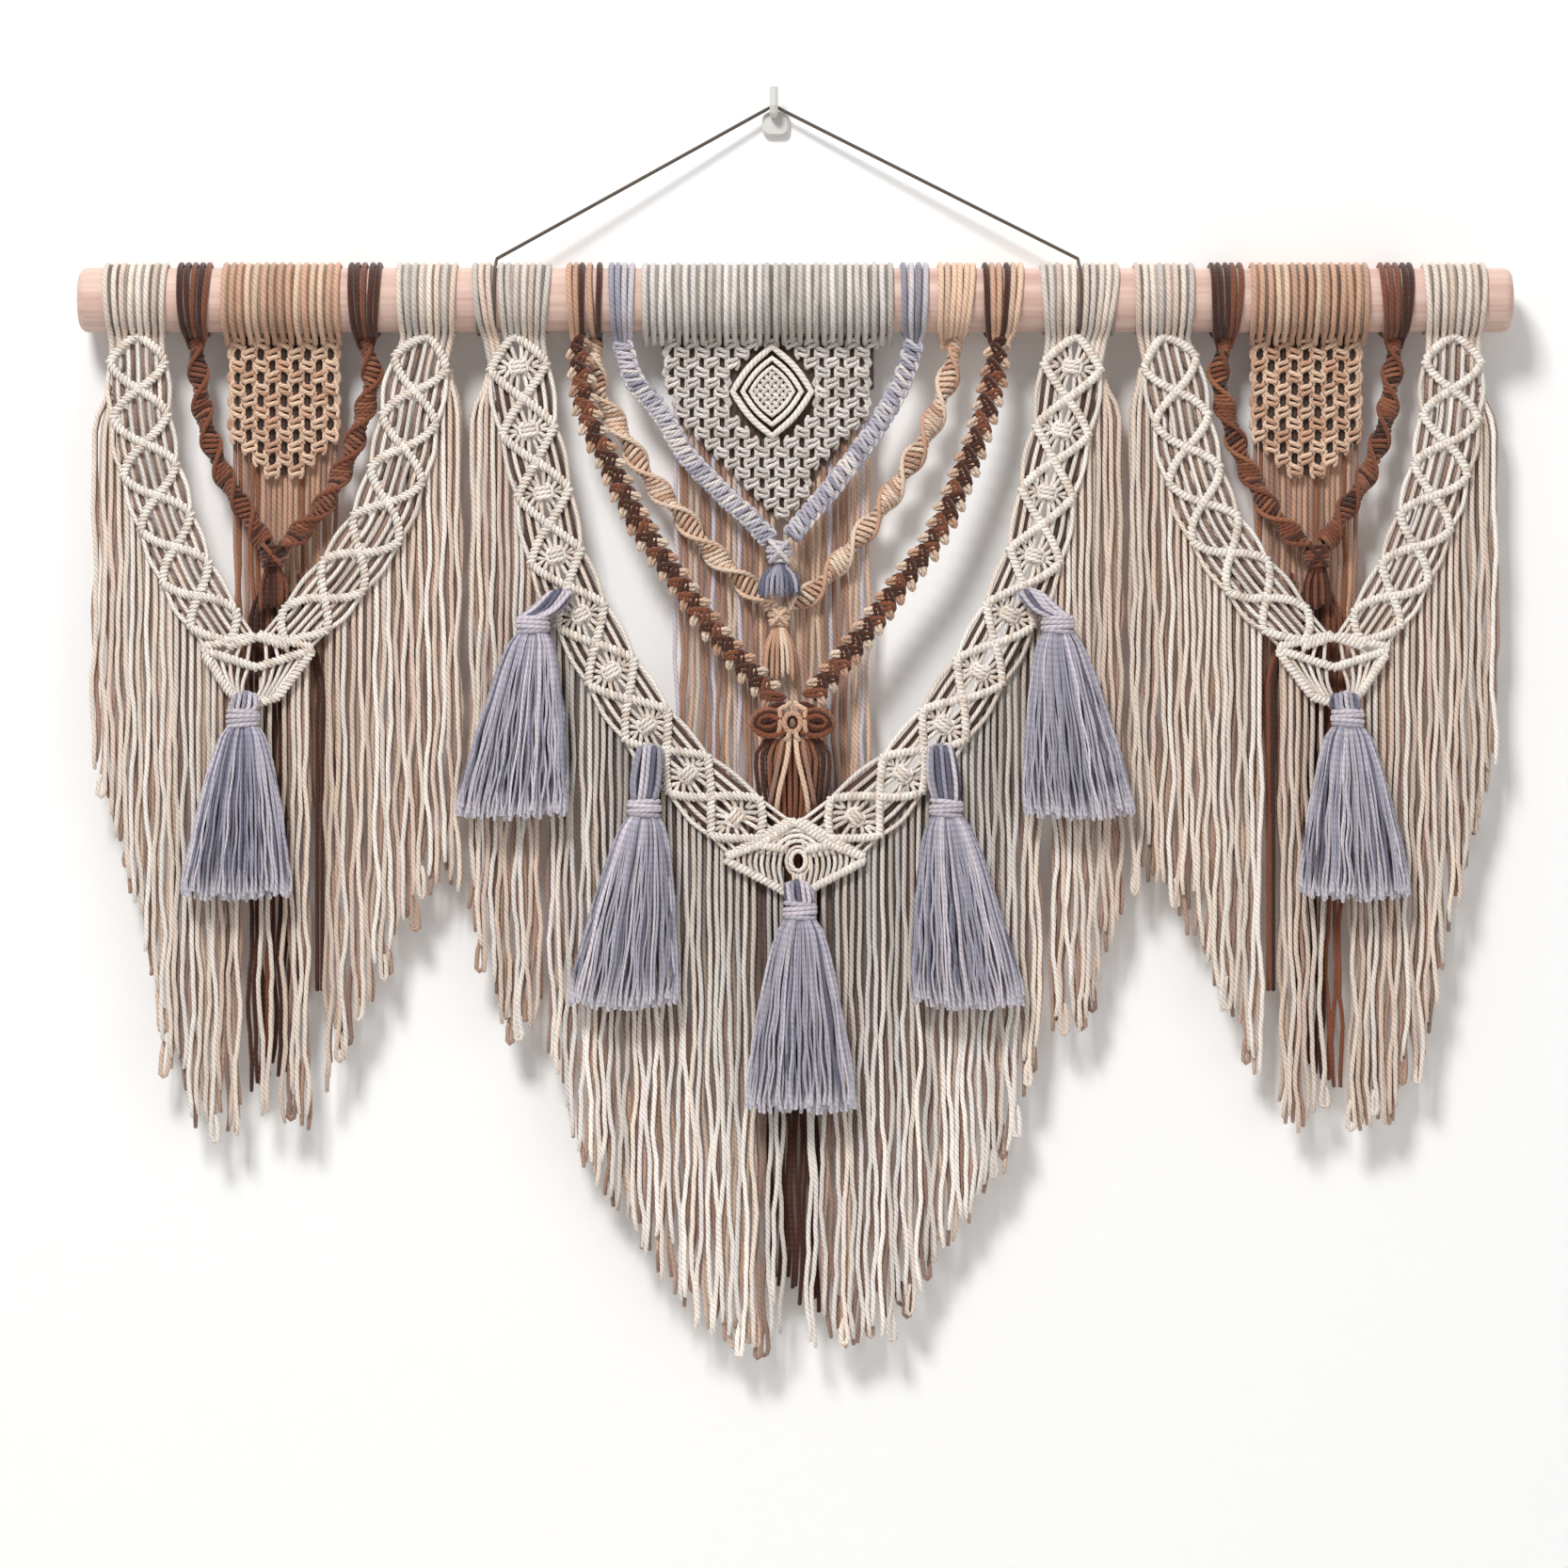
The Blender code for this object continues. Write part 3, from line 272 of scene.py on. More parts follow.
def packed(heights, widths):
    """Where each tube's strip lies on the piece's sheet of texture, in shelves, and the sheet's size."""
    limit = math.sqrt((heights * widths).sum()) * 1.08
    places = np.zeros((len(heights), 2))
    x = y = shelf = 0
    for number in np.argsort(-heights, kind="stable"):
        if x and x + widths[number] > limit:
            x, y, shelf = 0, y + shelf, 0
        places[number] = x, y
        x += widths[number]
        shelf = max(shelf, heights[number])
    return places, max(limit, y + shelf)


class Cords:
    """The cords of one piece, gathered as round tubes and then made into one mesh."""

    def __init__(self, node, mirror=1, name=None):
        self.node, self.mirror = node, mirror
        self.name = name or node + "_cords"
        self.rng = np.random.default_rng(zlib.crc32(self.name.encode()))
        self.draw = self.rng.uniform
        self.points, self.colours, self.strips, self.count = [], [], [], 0
        self.quads, self.quad_maps, self.quad_strips = [], [], []
        self.tris, self.tri_maps, self.tri_strips = [], [], []

    def dye(self, *colours, spread=0.06):
        """One of the colours, a little lighter or darker, as linear light."""
        picked = linear(colours[self.rng.integers(len(colours))])
        return picked * (1 + self.draw(-spread, spread) * 2)

    def thread(self, places, spacing, radius, colours, shade=1.0, sides=5, spread=0.06):
        """Adds a tube along a smooth line through places, in one of the colours, darkened by shade as painted
        shade.
        """
        self.tube(smooth(places, spacing), radius, self.dye(*colours, spread=spread) * shade, sides)

    def tube(self, path, radius, colour, sides=6, ref=(0, 0, 1), closed=False):
        """Adds a tube along places. Its sides are counted from the part of ref that is square to it."""
        path, ref = np.array(path, float), np.array(ref, float)
        path[:, 0] *= self.mirror
        ref[0] *= self.mirror
        count, first, strip = len(path), self.count, len(self.strips)
        radius = np.broadcast_to(np.asarray(radius, float), count)
        colour = np.broadcast_to(np.asarray(colour, float), (count, 3))
        if closed:
            ahead = unit(np.roll(path, -1, 0) - np.roll(path, 1, 0))
        else:
            ahead = unit(np.gradient(path, axis=0) + 1e-9)
        across = unit(ref - (ahead @ ref)[:, None] * ahead)
        other = np.cross(ahead, across)
        angle = np.arange(sides)[None, :, None] * math.tau / sides
        around = np.cos(angle) * across[:, None, :] + np.sin(angle) * other[:, None, :]
        self.points.append((path[:, None, :] + radius[:, None, None] * around).reshape(-1, 3))
        self.colours.append(np.repeat(colour, sides, 0))
        self.count += count * sides
        along = distances(np.vstack([path, path[:1]]))
        last = count if closed else count - 1
        widest = radius.max()
        self.strips.append((along[last] + 1.2 * widest, math.tau * widest, 0.6 * widest))
        i, k = (grid.ravel() for grid in np.meshgrid(np.arange(last), np.arange(sides), indexing="ij"))
        here, there = first + i * sides, first + (i + 1) % count * sides
        after = (k + 1) % sides
        self.quads.append(np.stack([here + k, here + after, there + after, there + k], 1))
        low, high, u0, u1 = along[i], along[i + 1], k / sides, (k + 1) / sides
        self.quad_maps.append(np.stack([u0, low, u1, low, u1, high, u0, high], 1).reshape(-1, 2))
        self.quad_strips.append(np.full(4 * len(i), strip))
        for end, sign in () if closed else ((0, -1), (count - 1, 1)):
            self.points.append((path[end] + ahead[end] * radius[end] * 0.55 * sign)[None])
            self.colours.append(colour[end][None])
            k = np.arange(sides)
            edge = first + end * sides
            corners = np.stack([edge + k, edge + (k + 1) % sides, np.full(sides, self.count)], 1)
            u = np.stack([k, k + 1, k + 0.5], 1) / sides
            v = along[end] + np.array([0, 0, sign * 0.5 * radius[end]]) + 0 * u
            order = [0, 1, 2] if sign > 0 else [1, 0, 2]
            self.tris.append(corners[:, order])
            self.tri_maps.append(np.stack([u, v], 2)[:, order].reshape(-1, 2))
            self.tri_strips.append(np.full(3 * sides, strip))
            self.count += 1

    def finish(self, material=None):
        """Makes the mesh, and lets it stand for its node of the solid model."""
        mesh = bpy.data.meshes.new(self.name)
        points, quads, tris = metres(np.vstack(self.points)), np.vstack(self.quads), np.vstack(self.tris)
        corners = np.concatenate([quads.ravel(), tris.ravel()])
        starts = np.concatenate([np.arange(len(quads)) * 4, len(quads) * 4 + np.arange(len(tris)) * 3])
        for items, count, key, values in (
            (mesh.vertices, len(points), "co", points.ravel()),
            (mesh.loops, len(corners), "vertex_index", corners.astype(np.int32)),
            (mesh.polygons, len(starts), "loop_start", starts.astype(np.int32)),
        ):
            items.add(count)
            items.foreach_set(key, values)
        mesh.update(calc_edges=True)
        mesh.validate()
        mesh.shade_smooth()
        maps = np.vstack([*self.quad_maps, *self.tri_maps])
        strips = np.concatenate([*self.quad_strips, *self.tri_strips])
        heights, widths, margins = np.array(self.strips).T
        places, size = packed(heights, widths)
        sheet = np.stack([places[strips, 0] + maps[:, 0] * widths[strips] * 0.9,
                          places[strips, 1] + margins[strips] + maps[:, 1]], 1) / size
        mesh.uv_layers.new(name="OFBake").uv.foreach_set("vector", sheet.ravel())
        mesh.uv_layers.new(name="cord").uv.foreach_set("vector", maps.ravel())
        colours = np.vstack(self.colours)
        layer = mesh.color_attributes.new("dye", "FLOAT_COLOR", "POINT")
        layer.data.foreach_set("color", np.hstack([colours, np.ones((len(colours), 1))]).ravel())
        mesh.materials.append(material or COTTON)
        obj = bpy.data.objects.new(self.name, mesh)
        bpy.context.scene.collection.objects.link(obj)
        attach(obj, "root")
        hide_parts(self.node)
        return obj


class Nodes:
    """A material's nodes, added one by one."""

    def __init__(self, name):
        self.material = bpy.data.materials.new(name)
        self.material.use_nodes = True
        self.tree = self.material.node_tree
        self.shader = self.tree.nodes["Principled BSDF"]

    def add(self, kind, inputs=None, **settings):
        made = self.tree.nodes.new(kind)
        for key, value in settings.items():
            setattr(made, key, value)
        for key, value in (inputs or {}).items():
            self.put(made.inputs[key], value)
        return made

    def put(self, socket, value):
        if isinstance(value, bpy.types.NodeSocket):
            self.tree.links.new(value, socket)
        else:
            socket.default_value = value

    def place(self, scale=None):
        """The place on the object, and, where a scale is given, stretched by it."""
        found = self.add("ShaderNodeTexCoord").outputs["Object"]
        if scale:
            found = self.add("ShaderNodeMapping", {"Vector": found, "Scale": scale}).outputs[0]
        return found

    def maths(self, operation, a, b=0.0):
        return self.add("ShaderNodeMath", {0: a, 1: b}, operation=operation).outputs[0]

    def plus(self, base, value, share):
        """A base and a share of a value."""
        return self.maths("ADD", base, self.maths("MULTIPLY", value, share))

    def noise(self, vector, scale, detail=2.0):
        inputs = {"Vector": vector, "Scale": scale, "Detail": detail}
        return self.add("ShaderNodeTexNoise", inputs).outputs["Fac"]

    def scaled(self, colour, light):
        return self.add("ShaderNodeVectorMath", {0: colour, "Scale": light}, operation="SCALE").outputs[0]

    def blend(self, share, first, second, ends=(0, 1)):
        """A colour between two that are given from 0 to 255."""
        ramp = self.add("ShaderNodeValToRGB", {0: share})
        for stop, end, colour in zip(ramp.color_ramp.elements, ends, (first, second)):
            stop.position = end
            stop.color = (*linear(colour), 1)
        return ramp.outputs[0]

    def surface(self, colour, roughness, relief, distance, strength):
        """Sets the shader's colour, roughness and bump, and gives the material."""
        bump = self.add("ShaderNodeBump", {"Height": relief, "Distance": distance, "Strength": strength})
        self.put(self.shader.inputs["Base Color"], colour)
        self.put(self.shader.inputs["Roughness"], roughness)
        self.put(self.shader.inputs["Normal"], bump.outputs[0])
        return self.material


def cord_material(name, plies, lay, groove_shade, roughness, sheen, height=0.0002):
    """Twisted cotton: plies that go round the cord once every lay millimetres, with loose fibres."""
    nodes = Nodes(name)
    turns = nodes.add("ShaderNodeSeparateXYZ", {0: nodes.add("ShaderNodeUVMap", uv_map="cord").outputs[0]})
    place = nodes.place()
    phase = nodes.plus(nodes.maths("MULTIPLY", turns.outputs[0], plies), turns.outputs[1], plies / lay)
    ply = nodes.maths("ABSOLUTE", nodes.maths("SINE", nodes.maths("MULTIPLY", phase, math.pi)))
    ply = nodes.maths("POWER", ply, 0.6)
    fibre = nodes.noise(place, 1500, 3)
    worn = nodes.noise(place, 130)
    # The grooves between the plies are darkened in the colour, as painted shade.
    light = nodes.maths("ADD", nodes.maths("MULTIPLY", ply, 1 - groove_shade), groove_shade)
    light = nodes.plus(light, nodes.maths("SUBTRACT", fibre, 0.5), 0.35)
    light = nodes.plus(light, nodes.maths("SUBTRACT", worn, 0.5), 0.30)
    dye = nodes.add("ShaderNodeAttribute", attribute_name="dye").outputs["Color"]
    nodes.shader.inputs["Sheen Weight"].default_value = sheen
    nodes.shader.inputs["Sheen Roughness"].default_value = 0.5
    nodes.shader.inputs["Specular IOR Level"].default_value = 0.25
    return nodes.surface(nodes.scaled(dye, light), nodes.plus(roughness, fibre, 0.12),
                         nodes.plus(ply, fibre, 0.5), height, 0.9)


def wood_material():
    """Pale pinkish beech, sanded and matt, with grain along the rod."""
    nodes = Nodes("rod_wood")
    grain = nodes.noise(nodes.place((6, 90, 90)), 1.6, 4)
    pores = nodes.noise(nodes.place((22, 700, 700)), 1.0)
    colour = nodes.blend(grain, (198, 162, 148), (222, 194, 180), (0.3, 0.7))
    return nodes.surface(nodes.scaled(colour, nodes.plus(0.85, pores, 0.3)), nodes.plus(0.5, pores, 0.2),
                         pores, 0.0002, 0.5)


def plastic_material():
    """Moulded whitish plastic with a fine orange-peel surface."""
    nodes = Nodes("hook_plastic")
    peel = nodes.noise(nodes.place(), 900)
    shade = nodes.noise(nodes.place(), 150)
    colour = nodes.blend(shade, (196, 195, 191), (224, 222, 217))
    return nodes.surface(colour, nodes.plus(0.28, peel, 0.15), peel, 0.0001, 0.3)


def link(name, data):
    """A new object with its data, in the scene."""
    obj = bpy.data.objects.new(name, data)
    bpy.context.scene.collection.objects.link(obj)
    return obj


def camera():
    """Straight from the front, far away, so that the picture's frame fits the hanging's plane."""
    data = bpy.data.cameras.new("camera")
    data.lens, data.sensor_width, data.clip_end = LENS, SENSOR, CLIP_END
    obj = link("camera", data)
    away = PHOTO_PIXELS * PIXEL * MM * LENS / SENSOR
    side, drop = ((PHOTO_PIXELS / 2 - centre) * PIXEL for centre in (PHOTO_MIDDLE, PHOTO_ROD))
    x, y, z = metres((side, drop, STRAP_Y))
    obj.location = (x, y - away, z)
    obj.rotation_euler = (math.pi / 2, 0, 0)
    bpy.context.scene.camera = obj


def rise(start, end):
    """Places from the top of the rod, out between the wraps and straight on to the hook."""
    sign = math.copysign(1, end[0] - start[0])
    out = (start[0] + 0.1 * sign, start[1] - 1.8, start[2] + 2.5)
    clear = (start[0] + 0.4 * sign, start[1] - 4, start[2] + 4.2)
    count = round(math.dist(clear, end) / STRING_SPACING)
    straight = [tuple(a + (b - a) * step / count for a, b in zip(clear, end)) for step in range(1, count)]
    return [out, clear, *straight]


def string_route():
    """The string's places: round the rod, up to the hook, over its peg, and down to the rod again."""
    half_step = math.radians(STRING_TURN_START) / STRING_TURN_STEPS / 2
    radius = (ROD_RADIUS + STRING_GAP + STRING_RADIUS) / math.cos(half_step)
    turns = []
    for side in STRING_TIES:
        turn = []
        for step in range(STRING_TURN_STEPS + 1):
            angle = math.radians(STRING_TURN_START * (1 - step / STRING_TURN_STEPS))
            turn.append((side, -radius * math.cos(angle), ROD_Y - radius * math.sin(angle)))
        turns.append(turn)
    over = []
    for reach in (-6, -2, 2, 6):
        fall = (abs(reach) - 2) * STRING_SLOPE
        over.append((PEG_SIDE + reach - MIDDLE, fall - PEG_TOP_Z - ROD_DROP, PEG_REST_Y))
    up, down = rise(turns[0][-1], over[0]), rise(turns[1][-1], over[-1])
    return np.array([*turns[0], *up, *over, *down[::-1], *turns[1][::-1]])


def hanging_string():
    route = string_route()
    cords = Cords("hanging_string", name="string_line")
    cords.tube(route, STRING_RADIUS, linear(STRING_GREY), sides=8, ref=(1, 0.2, 0.3))
    piece = cords.finish(STRING)


def ring(cords, centre, wide, deep, radius, colour, steps, tilt=(0, 0, 0), sides=5):
    """A closed loop of cord about a place: wide and deep are its half axes, as vectors."""
    angle = np.arange(steps)[:, None] * math.tau / steps
    wide, deep = np.asarray(wide, float), np.asarray(deep, float)
    path = centre + np.cos(angle) * (wide + np.asarray(tilt, float)) + np.sin(angle) * deep
    cords.tube(path, radius, colour, sides, ref=np.cross(wide, deep), closed=True)


def ridge(cords, at, start, end, bow=0.0):
    """A row of half hitches on a holding cord, from one place of a net to another, bowed across the net."""
    path = []
    for t in np.linspace(0, 1, 7):
        u, v = np.array(start) + (np.array(end) - start) * t
        path.append((*at(u + bow * math.sin(math.pi * t), v), RIDGE_Y))
    path = np.array(path)
    along = distances(path)
    # The ridge's cords take the painted-highlight cream among the plain ones.
    cords.thread(path, 4, RIDGE_CORD, RIDGE_CREAM_HIGHLIT)
    count = max(2, round(along[-1] / RIDGE_PITCH))
    for k in range(count):
        wanted = along[-1] * (k + 0.5) / count
        centre = between(path, along, wanted)
        ahead = unit(centre - between(path, along, wanted - 1) + 1e-9)
        grow = RIDGE_SIZE * cords.draw(0.92, 1.12)
        ring(cords, centre, beside(ahead) * grow, (0, 0, -grow), RIDGE_CORD * cords.draw(0.94, 1.06),
             cords.dye(*RIDGE_CREAM_HIGHLIT, spread=0.02), steps=7, tilt=ahead * 1.2)


def wrapped(cords, low, high, tail, colours, start=148, pitch=WRAP_PITCH):
    """Cords side by side round the rod from one side to another, each going on down into its tail."""
    count = max(2, round((high - low) / pitch))
    for i in range(count):
        share = (i + 0.5) / count
        side = low + (high - low) * share + cords.draw(-0.3, 0.3)
        below = tail(share, side)
        lean = (below[0][0] - side) * 0.8
        sway = cords.draw(-0.35, 0.35)
        path = [tuple(place) for place in below[::-1]]
        for angle in np.radians(np.arange(start, -190, -14)):
            drop = -WRAP_RADIUS * math.cos(angle)
            if angle > 0:
                moved = lean * np.clip((drop + 18) / 38, 0, 1) ** 1.6 + sway * math.sin(drop / 8)
            else:
                moved = lean * np.clip((-angle - 1.9) / 1.2, 0, 1)
            path.append((side + moved, drop, ROD_Y - WRAP_RADIUS * math.sin(angle)))
        colour = colours(side) if callable(colours) else cords.dye(*colours)
        cords.tube(smooth(path, 5.6), WRAP_CORD, colour, ref=(1, 0, 0))
    if pitch < WRAP_PITCH:
        return
    reach = WRAP_RADIUS - GAP_DEPTH
    for i in range(1, count):
        side = low + (high - low) * i / count + cords.draw(-0.5, 0.5)
        path = [(side, -reach * math.cos(angle), ROD_Y - reach * math.sin(angle))
                for angle in np.radians(np.arange(164, -190, -18))]
        # The gap cords are darkened by GAP_SHADE, as painted shade.
        shade = GAP_SHADE * cords.draw(0.6, 1.7)
        cords.tube(smooth(path, 8), GAP_CORD, cords.dye(*colours) * shade, sides=5, ref=(1, 0, 0))


def strap_cell(cords, net, cell, gathered, behind):
    """A diamond of half hitches. Its free cords run side by side, or gather at a knot in its middle."""
    for sign in (1, -1):
        middle = (sign * CORNER, cell + 0.5)
        bow = sign * (0.05 if gathered else 0.13)
        ridge(cords, net.at, (0, cell), middle, bow)
        ridge(cords, net.at, middle, (0, cell + 1), bow)
    reaches = (0.05, 0.13, 0.22, 0.34) if gathered else (0.0, 0.27, 0.55)
    shares = (0.2, 0.42, 0.64, 0.86) if gathered else (0.0, 0.34, 0.68)
    for sign in (1, -1):
        for t, reach in zip(shares, reaches):
            if t == 0 and sign < 0:
                continue
            sway = cords.draw(-0.03, 0.03)
            edge, bend = sign * CORNER * t, sign * (CORNER * t + reach) / 2 + sway
            low = 0.5 * t + 0.5 * (0.5 - 0.5 * t)
            pairs = [(edge, cell + 0.5 * t), (bend, cell + low), (sign * reach + sway, cell + 0.5),
                     (bend, cell + 1 - low), (edge, cell + 1 - 0.5 * t)]
            # The cell's inner cords are darkened at random by up to a fifth, as painted shade.
            colour = cords.dye(*NET_CREAM) * cords.draw(0.8, 1.0)
            cords.tube(smooth(net.places(pairs, STRAP_Y + 0.2), 3.2), 1.3, colour, sides=5)
        for t in (0.25, 0.6):
            edge = sign * CORNER * t
            pairs = [(edge, cell + 0.5 * t + 0.05), (edge, cell + 0.95 - 0.5 * t)]
            # Dark backing cords behind the cell, as painted shade.
            cords.tube(net.places(pairs, STRAP_Y + 2.6), 2.2, cords.dye(behind), sides=5)
    if not gathered:
        return
    centre = np.array([*net.at(0, cell + 0.5), STRAP_Y - 0.6])
    ahead = unit(np.array([*(net.at(0, cell + 0.6) - net.at(0, cell + 0.4)), 0]))
    across = beside(ahead)
    for shift in (-2.5, 0, 2.5):
        ring(cords, centre + ahead * shift, across * 3.7, (0, 0, -2.3), 1.35, cords.dye(*NET_CREAM), steps=10)
    for sign in (1, -1):
        pairs = [(2.4, -4.6), (4.6, -1.8), (4.6, 1.8), (2.4, 4.6)]
        path = [centre + across * sign * u + ahead * v for u, v in pairs]
        cords.thread(path, 2.4, 1.3, NET_CREAM)


def strap_sides(cords, net, cell, behind):
    """The free cords along both edges of a strap, from one diamond to the next."""
    for sign in (1, -1):
        # The free cords nearer the middle are darker, as painted shade.
        for t, bulge, shade in ((0.42, 0, 0.85), (0.72, 0.03, 0.95), (0.99, 0.12, 1.0)):
            edge = sign * CORNER * t
            sway = cords.draw(-0.02, 0.02)
            pairs = [(edge, cell + 1 - 0.5 * t), (sign * (CORNER * t + bulge + sway), cell + 1),
                     (edge, cell + 1 + 0.5 * t)]
            cords.thread(net.places(pairs, STRAP_Y + 0.4), 3.6, 1.38, NET_CREAM, shade)
        for t in (0.55, 0.84):
            edge = sign * CORNER * t
            pairs = [(edge, cell + 1 - 0.4 * t), (edge * 1.03, cell + 1), (edge, cell + 1 + 0.4 * t)]
            # Dark backing cords behind the edges, as painted shade.
            cords.tube(net.places(pairs, STRAP_Y + 2.6), 1.9, cords.dye(behind), sides=5)


def strap(node, mirror, net, groups, gathered=False):
    """A lattice strap: a chain of diamonds from the wraps round the rod to the foot of the swag."""
    cords = Cords(node, mirror)
    # Painted shade: dark cords laid behind the net, darker still behind the gathered straps.
    behind = SHADE_DARK if gathered else SHADE_DEEP
    low, high = groups[0][0], groups[-1][1]

    def tail(share, side):
        u = np.clip(((side - low) / (high - low) * 2 - 1) * 0.86, -CORNER, CORNER)
        end = net.at(u, 0.5 * abs(u) / CORNER + 0.02)
        top = net.at(u * 0.98, 0.0)
        first = (top[0] * 0.85 + side * 0.15, 21.0, -28.9)
        return [first, (*((np.array(first[:2]) + end) / 2 + (0, 0.5)), STRAP_Y), (*end, STRAP_Y)]

    for group in groups:
        wrapped(cords, *group, tail, (CREAM_WARM, CREAM_WARM, CREAM_PINK, GREY_WHITE))
    for cell in range(net.cells):
        strap_cell(cords, net, cell, gathered, behind)
        if cell + 1 < net.cells:
            strap_sides(cords, net, cell, behind)
    foot = net.cells
    ridge(cords, net.at, (-0.92, foot), (0.92, foot))
    for sign in (1, -1):
        for t in (0.45, 0.75, 0.98):
            edge = sign * CORNER * t
            places = net.places([(edge, foot - 0.5 * t), (edge * 1.02, foot)], STRAP_Y + 0.4)
            cords.thread(places, 3.6, 1.12, NET_CREAM)
    cords.finish()


def plain(side, drop):
    """For ridges between places that are given by side and drop."""
    return side, drop


def side_tip(node, mirror):
    """The net below the V of a side swag: ridges, free cords and loops that carry the tassel."""
    cords = Cords(node, mirror)
    for start, end in (((331, 195.5), (300.5, 205.5)), ((269, 195.5), (300.5, 205.5)),
                       ((330, 197.5), (315.5, 219.5)), ((270, 197.5), (288.5, 222)),
                       ((315.5, 219.5), (306, 227.5)), ((288.5, 222), (305, 227.5)),
                       ((317, 194), (300, 188.5)), ((283, 194), (300, 188.5))):
        ridge(cords, plain, start, end)
    for sign, end in ((1, 316), (-1, 288)):
        for number in range(5):
            t = (number + 0.8) / 5.6
            top = (300.5 + sign * 30 * t, 205.5 - 9.5 * t)
            foot = (end + (306 - end) * (1 - t) * 0.9, 219 + 7.5 * (1 - t))
            middle = ((top[0] + foot[0]) / 2 + sign * (1 - t) * 2.2, (top[1] + foot[1]) / 2)
            path = [(*top, STRAP_Y), (*middle, STRAP_Y - 0.4), (*foot, STRAP_Y)]
            cords.thread(path, 3, 1.15, NET_CREAM)
    for sign in (1, -1):
        for t in (0.25, 0.55, 0.85):
            path = [(300 + sign * 17 * t, 189 + 5.5 * t, STRAP_Y),
                    (300.5 + sign * 22 * t, 205 - 7.2 * t, STRAP_Y)]
            cords.thread(path, 3, 1.15, NET_CREAM)
    cords.finish()


def centre_tip():
    """The net below the V of the centre swag, with the ring that carries the tassel."""
    cords = Cords("swag_tip_centre")
    for sign in (1, -1):
        for start, end in (((39, 313), (11.5, 327.5)), ((11.5, 327.5), (1, 334)), ((38, 311), (20, 304.5)),
                           ((20, 304.5), (0, 291.5)), ((20, 304.5), (6, 307))):
            ridge(cords, plain, (sign * start[0], start[1]), (sign * end[0], end[1]))
        for number in range(9):
            t = number / 8
            top = (sign * (7 + 28 * t), 305.5 + 4 * t)
            foot = (sign * (6.5 + 28 * t), 329.5 - 15 * t)
            middle = ((top[0] + foot[0]) / 2 + sign * (2.2 - 1.4 * t), (top[1] + foot[1]) / 2)
            path = [(*top, STRAP_Y + 0.3), (*middle, STRAP_Y - 0.3), (*foot, STRAP_Y + 0.3)]
            # These free cords are darker than the ridges, as painted shade.
            cords.thread(path, 3, 1.2, NET_CREAM, 0.92)
        for number in range(4):
            t = number / 3
            path = [(sign * (2 + 15 * t), 296 + 8 * t, STRAP_Y + 0.5),
                    (sign * (4 + 15 * t), 302 + 4 * t, STRAP_Y), (sign * (5.5 + 14 * t), 309, STRAP_Y + 0.5)]
            # These cords are darker than the ridges, as painted shade.
            cords.thread(path, 3, 1.25, NET_CREAM, 0.92)
        for number in range(3):
            t = (number + 0.6) / 3
            path = [(sign * 18 * t, 294 + 9 * t, STRAP_Y), (sign * (14 * t + 2), 305.5, STRAP_Y)]
            cords.thread(path, 3, 1.15, NET_CREAM)
    for number in range(4):
        wide, high = 9.5 + 3.6 * number, 10.4 + 2.9 * number
        path = [(1.2 + wide * math.cos(angle), 312.5 - high * math.sin(angle), STRAP_Y - 0.9)
                for angle in np.radians(np.arange(8, 173, 18))]
        cords.thread(path, 3, 1.3, NET_CREAM)
    for y, wide, high, radius, colour, sides in ((-0.6, 4.2, 5.6, 1.5, CREAM, 6),
                                                 (0.4, 6.6, 8.2, 1.2, CREAM_WARM, 5)):
        centre = np.array([1.6, 313.5, STRAP_Y + y])
        ring(cords, centre, (wide, 0, 0), (0, high, 0), radius, linear(colour), steps=14, sides=sides)
    for side in (-3, 0, 3, 6):
        path = [(side * 0.7 + 1, 320, STRAP_Y), (side * 0.6 + 1, 326, STRAP_Y - 0.5),
                (side * 0.35 + 1, 333, STRAP_Y)]
        cords.thread(path, 3, 1.1, NET_CREAM)
    cords.finish()


def span(rows):
    """The least and the greatest side of a fringe's rows."""
    return sorted((rows[0][0], rows[-1][0]))


def top_and_hem(rows, side):
    """A fringe's top and hem at a side."""
    rows = np.array(sorted(rows), float)
    return between(rows[:, 1:], rows[:, 0], side)


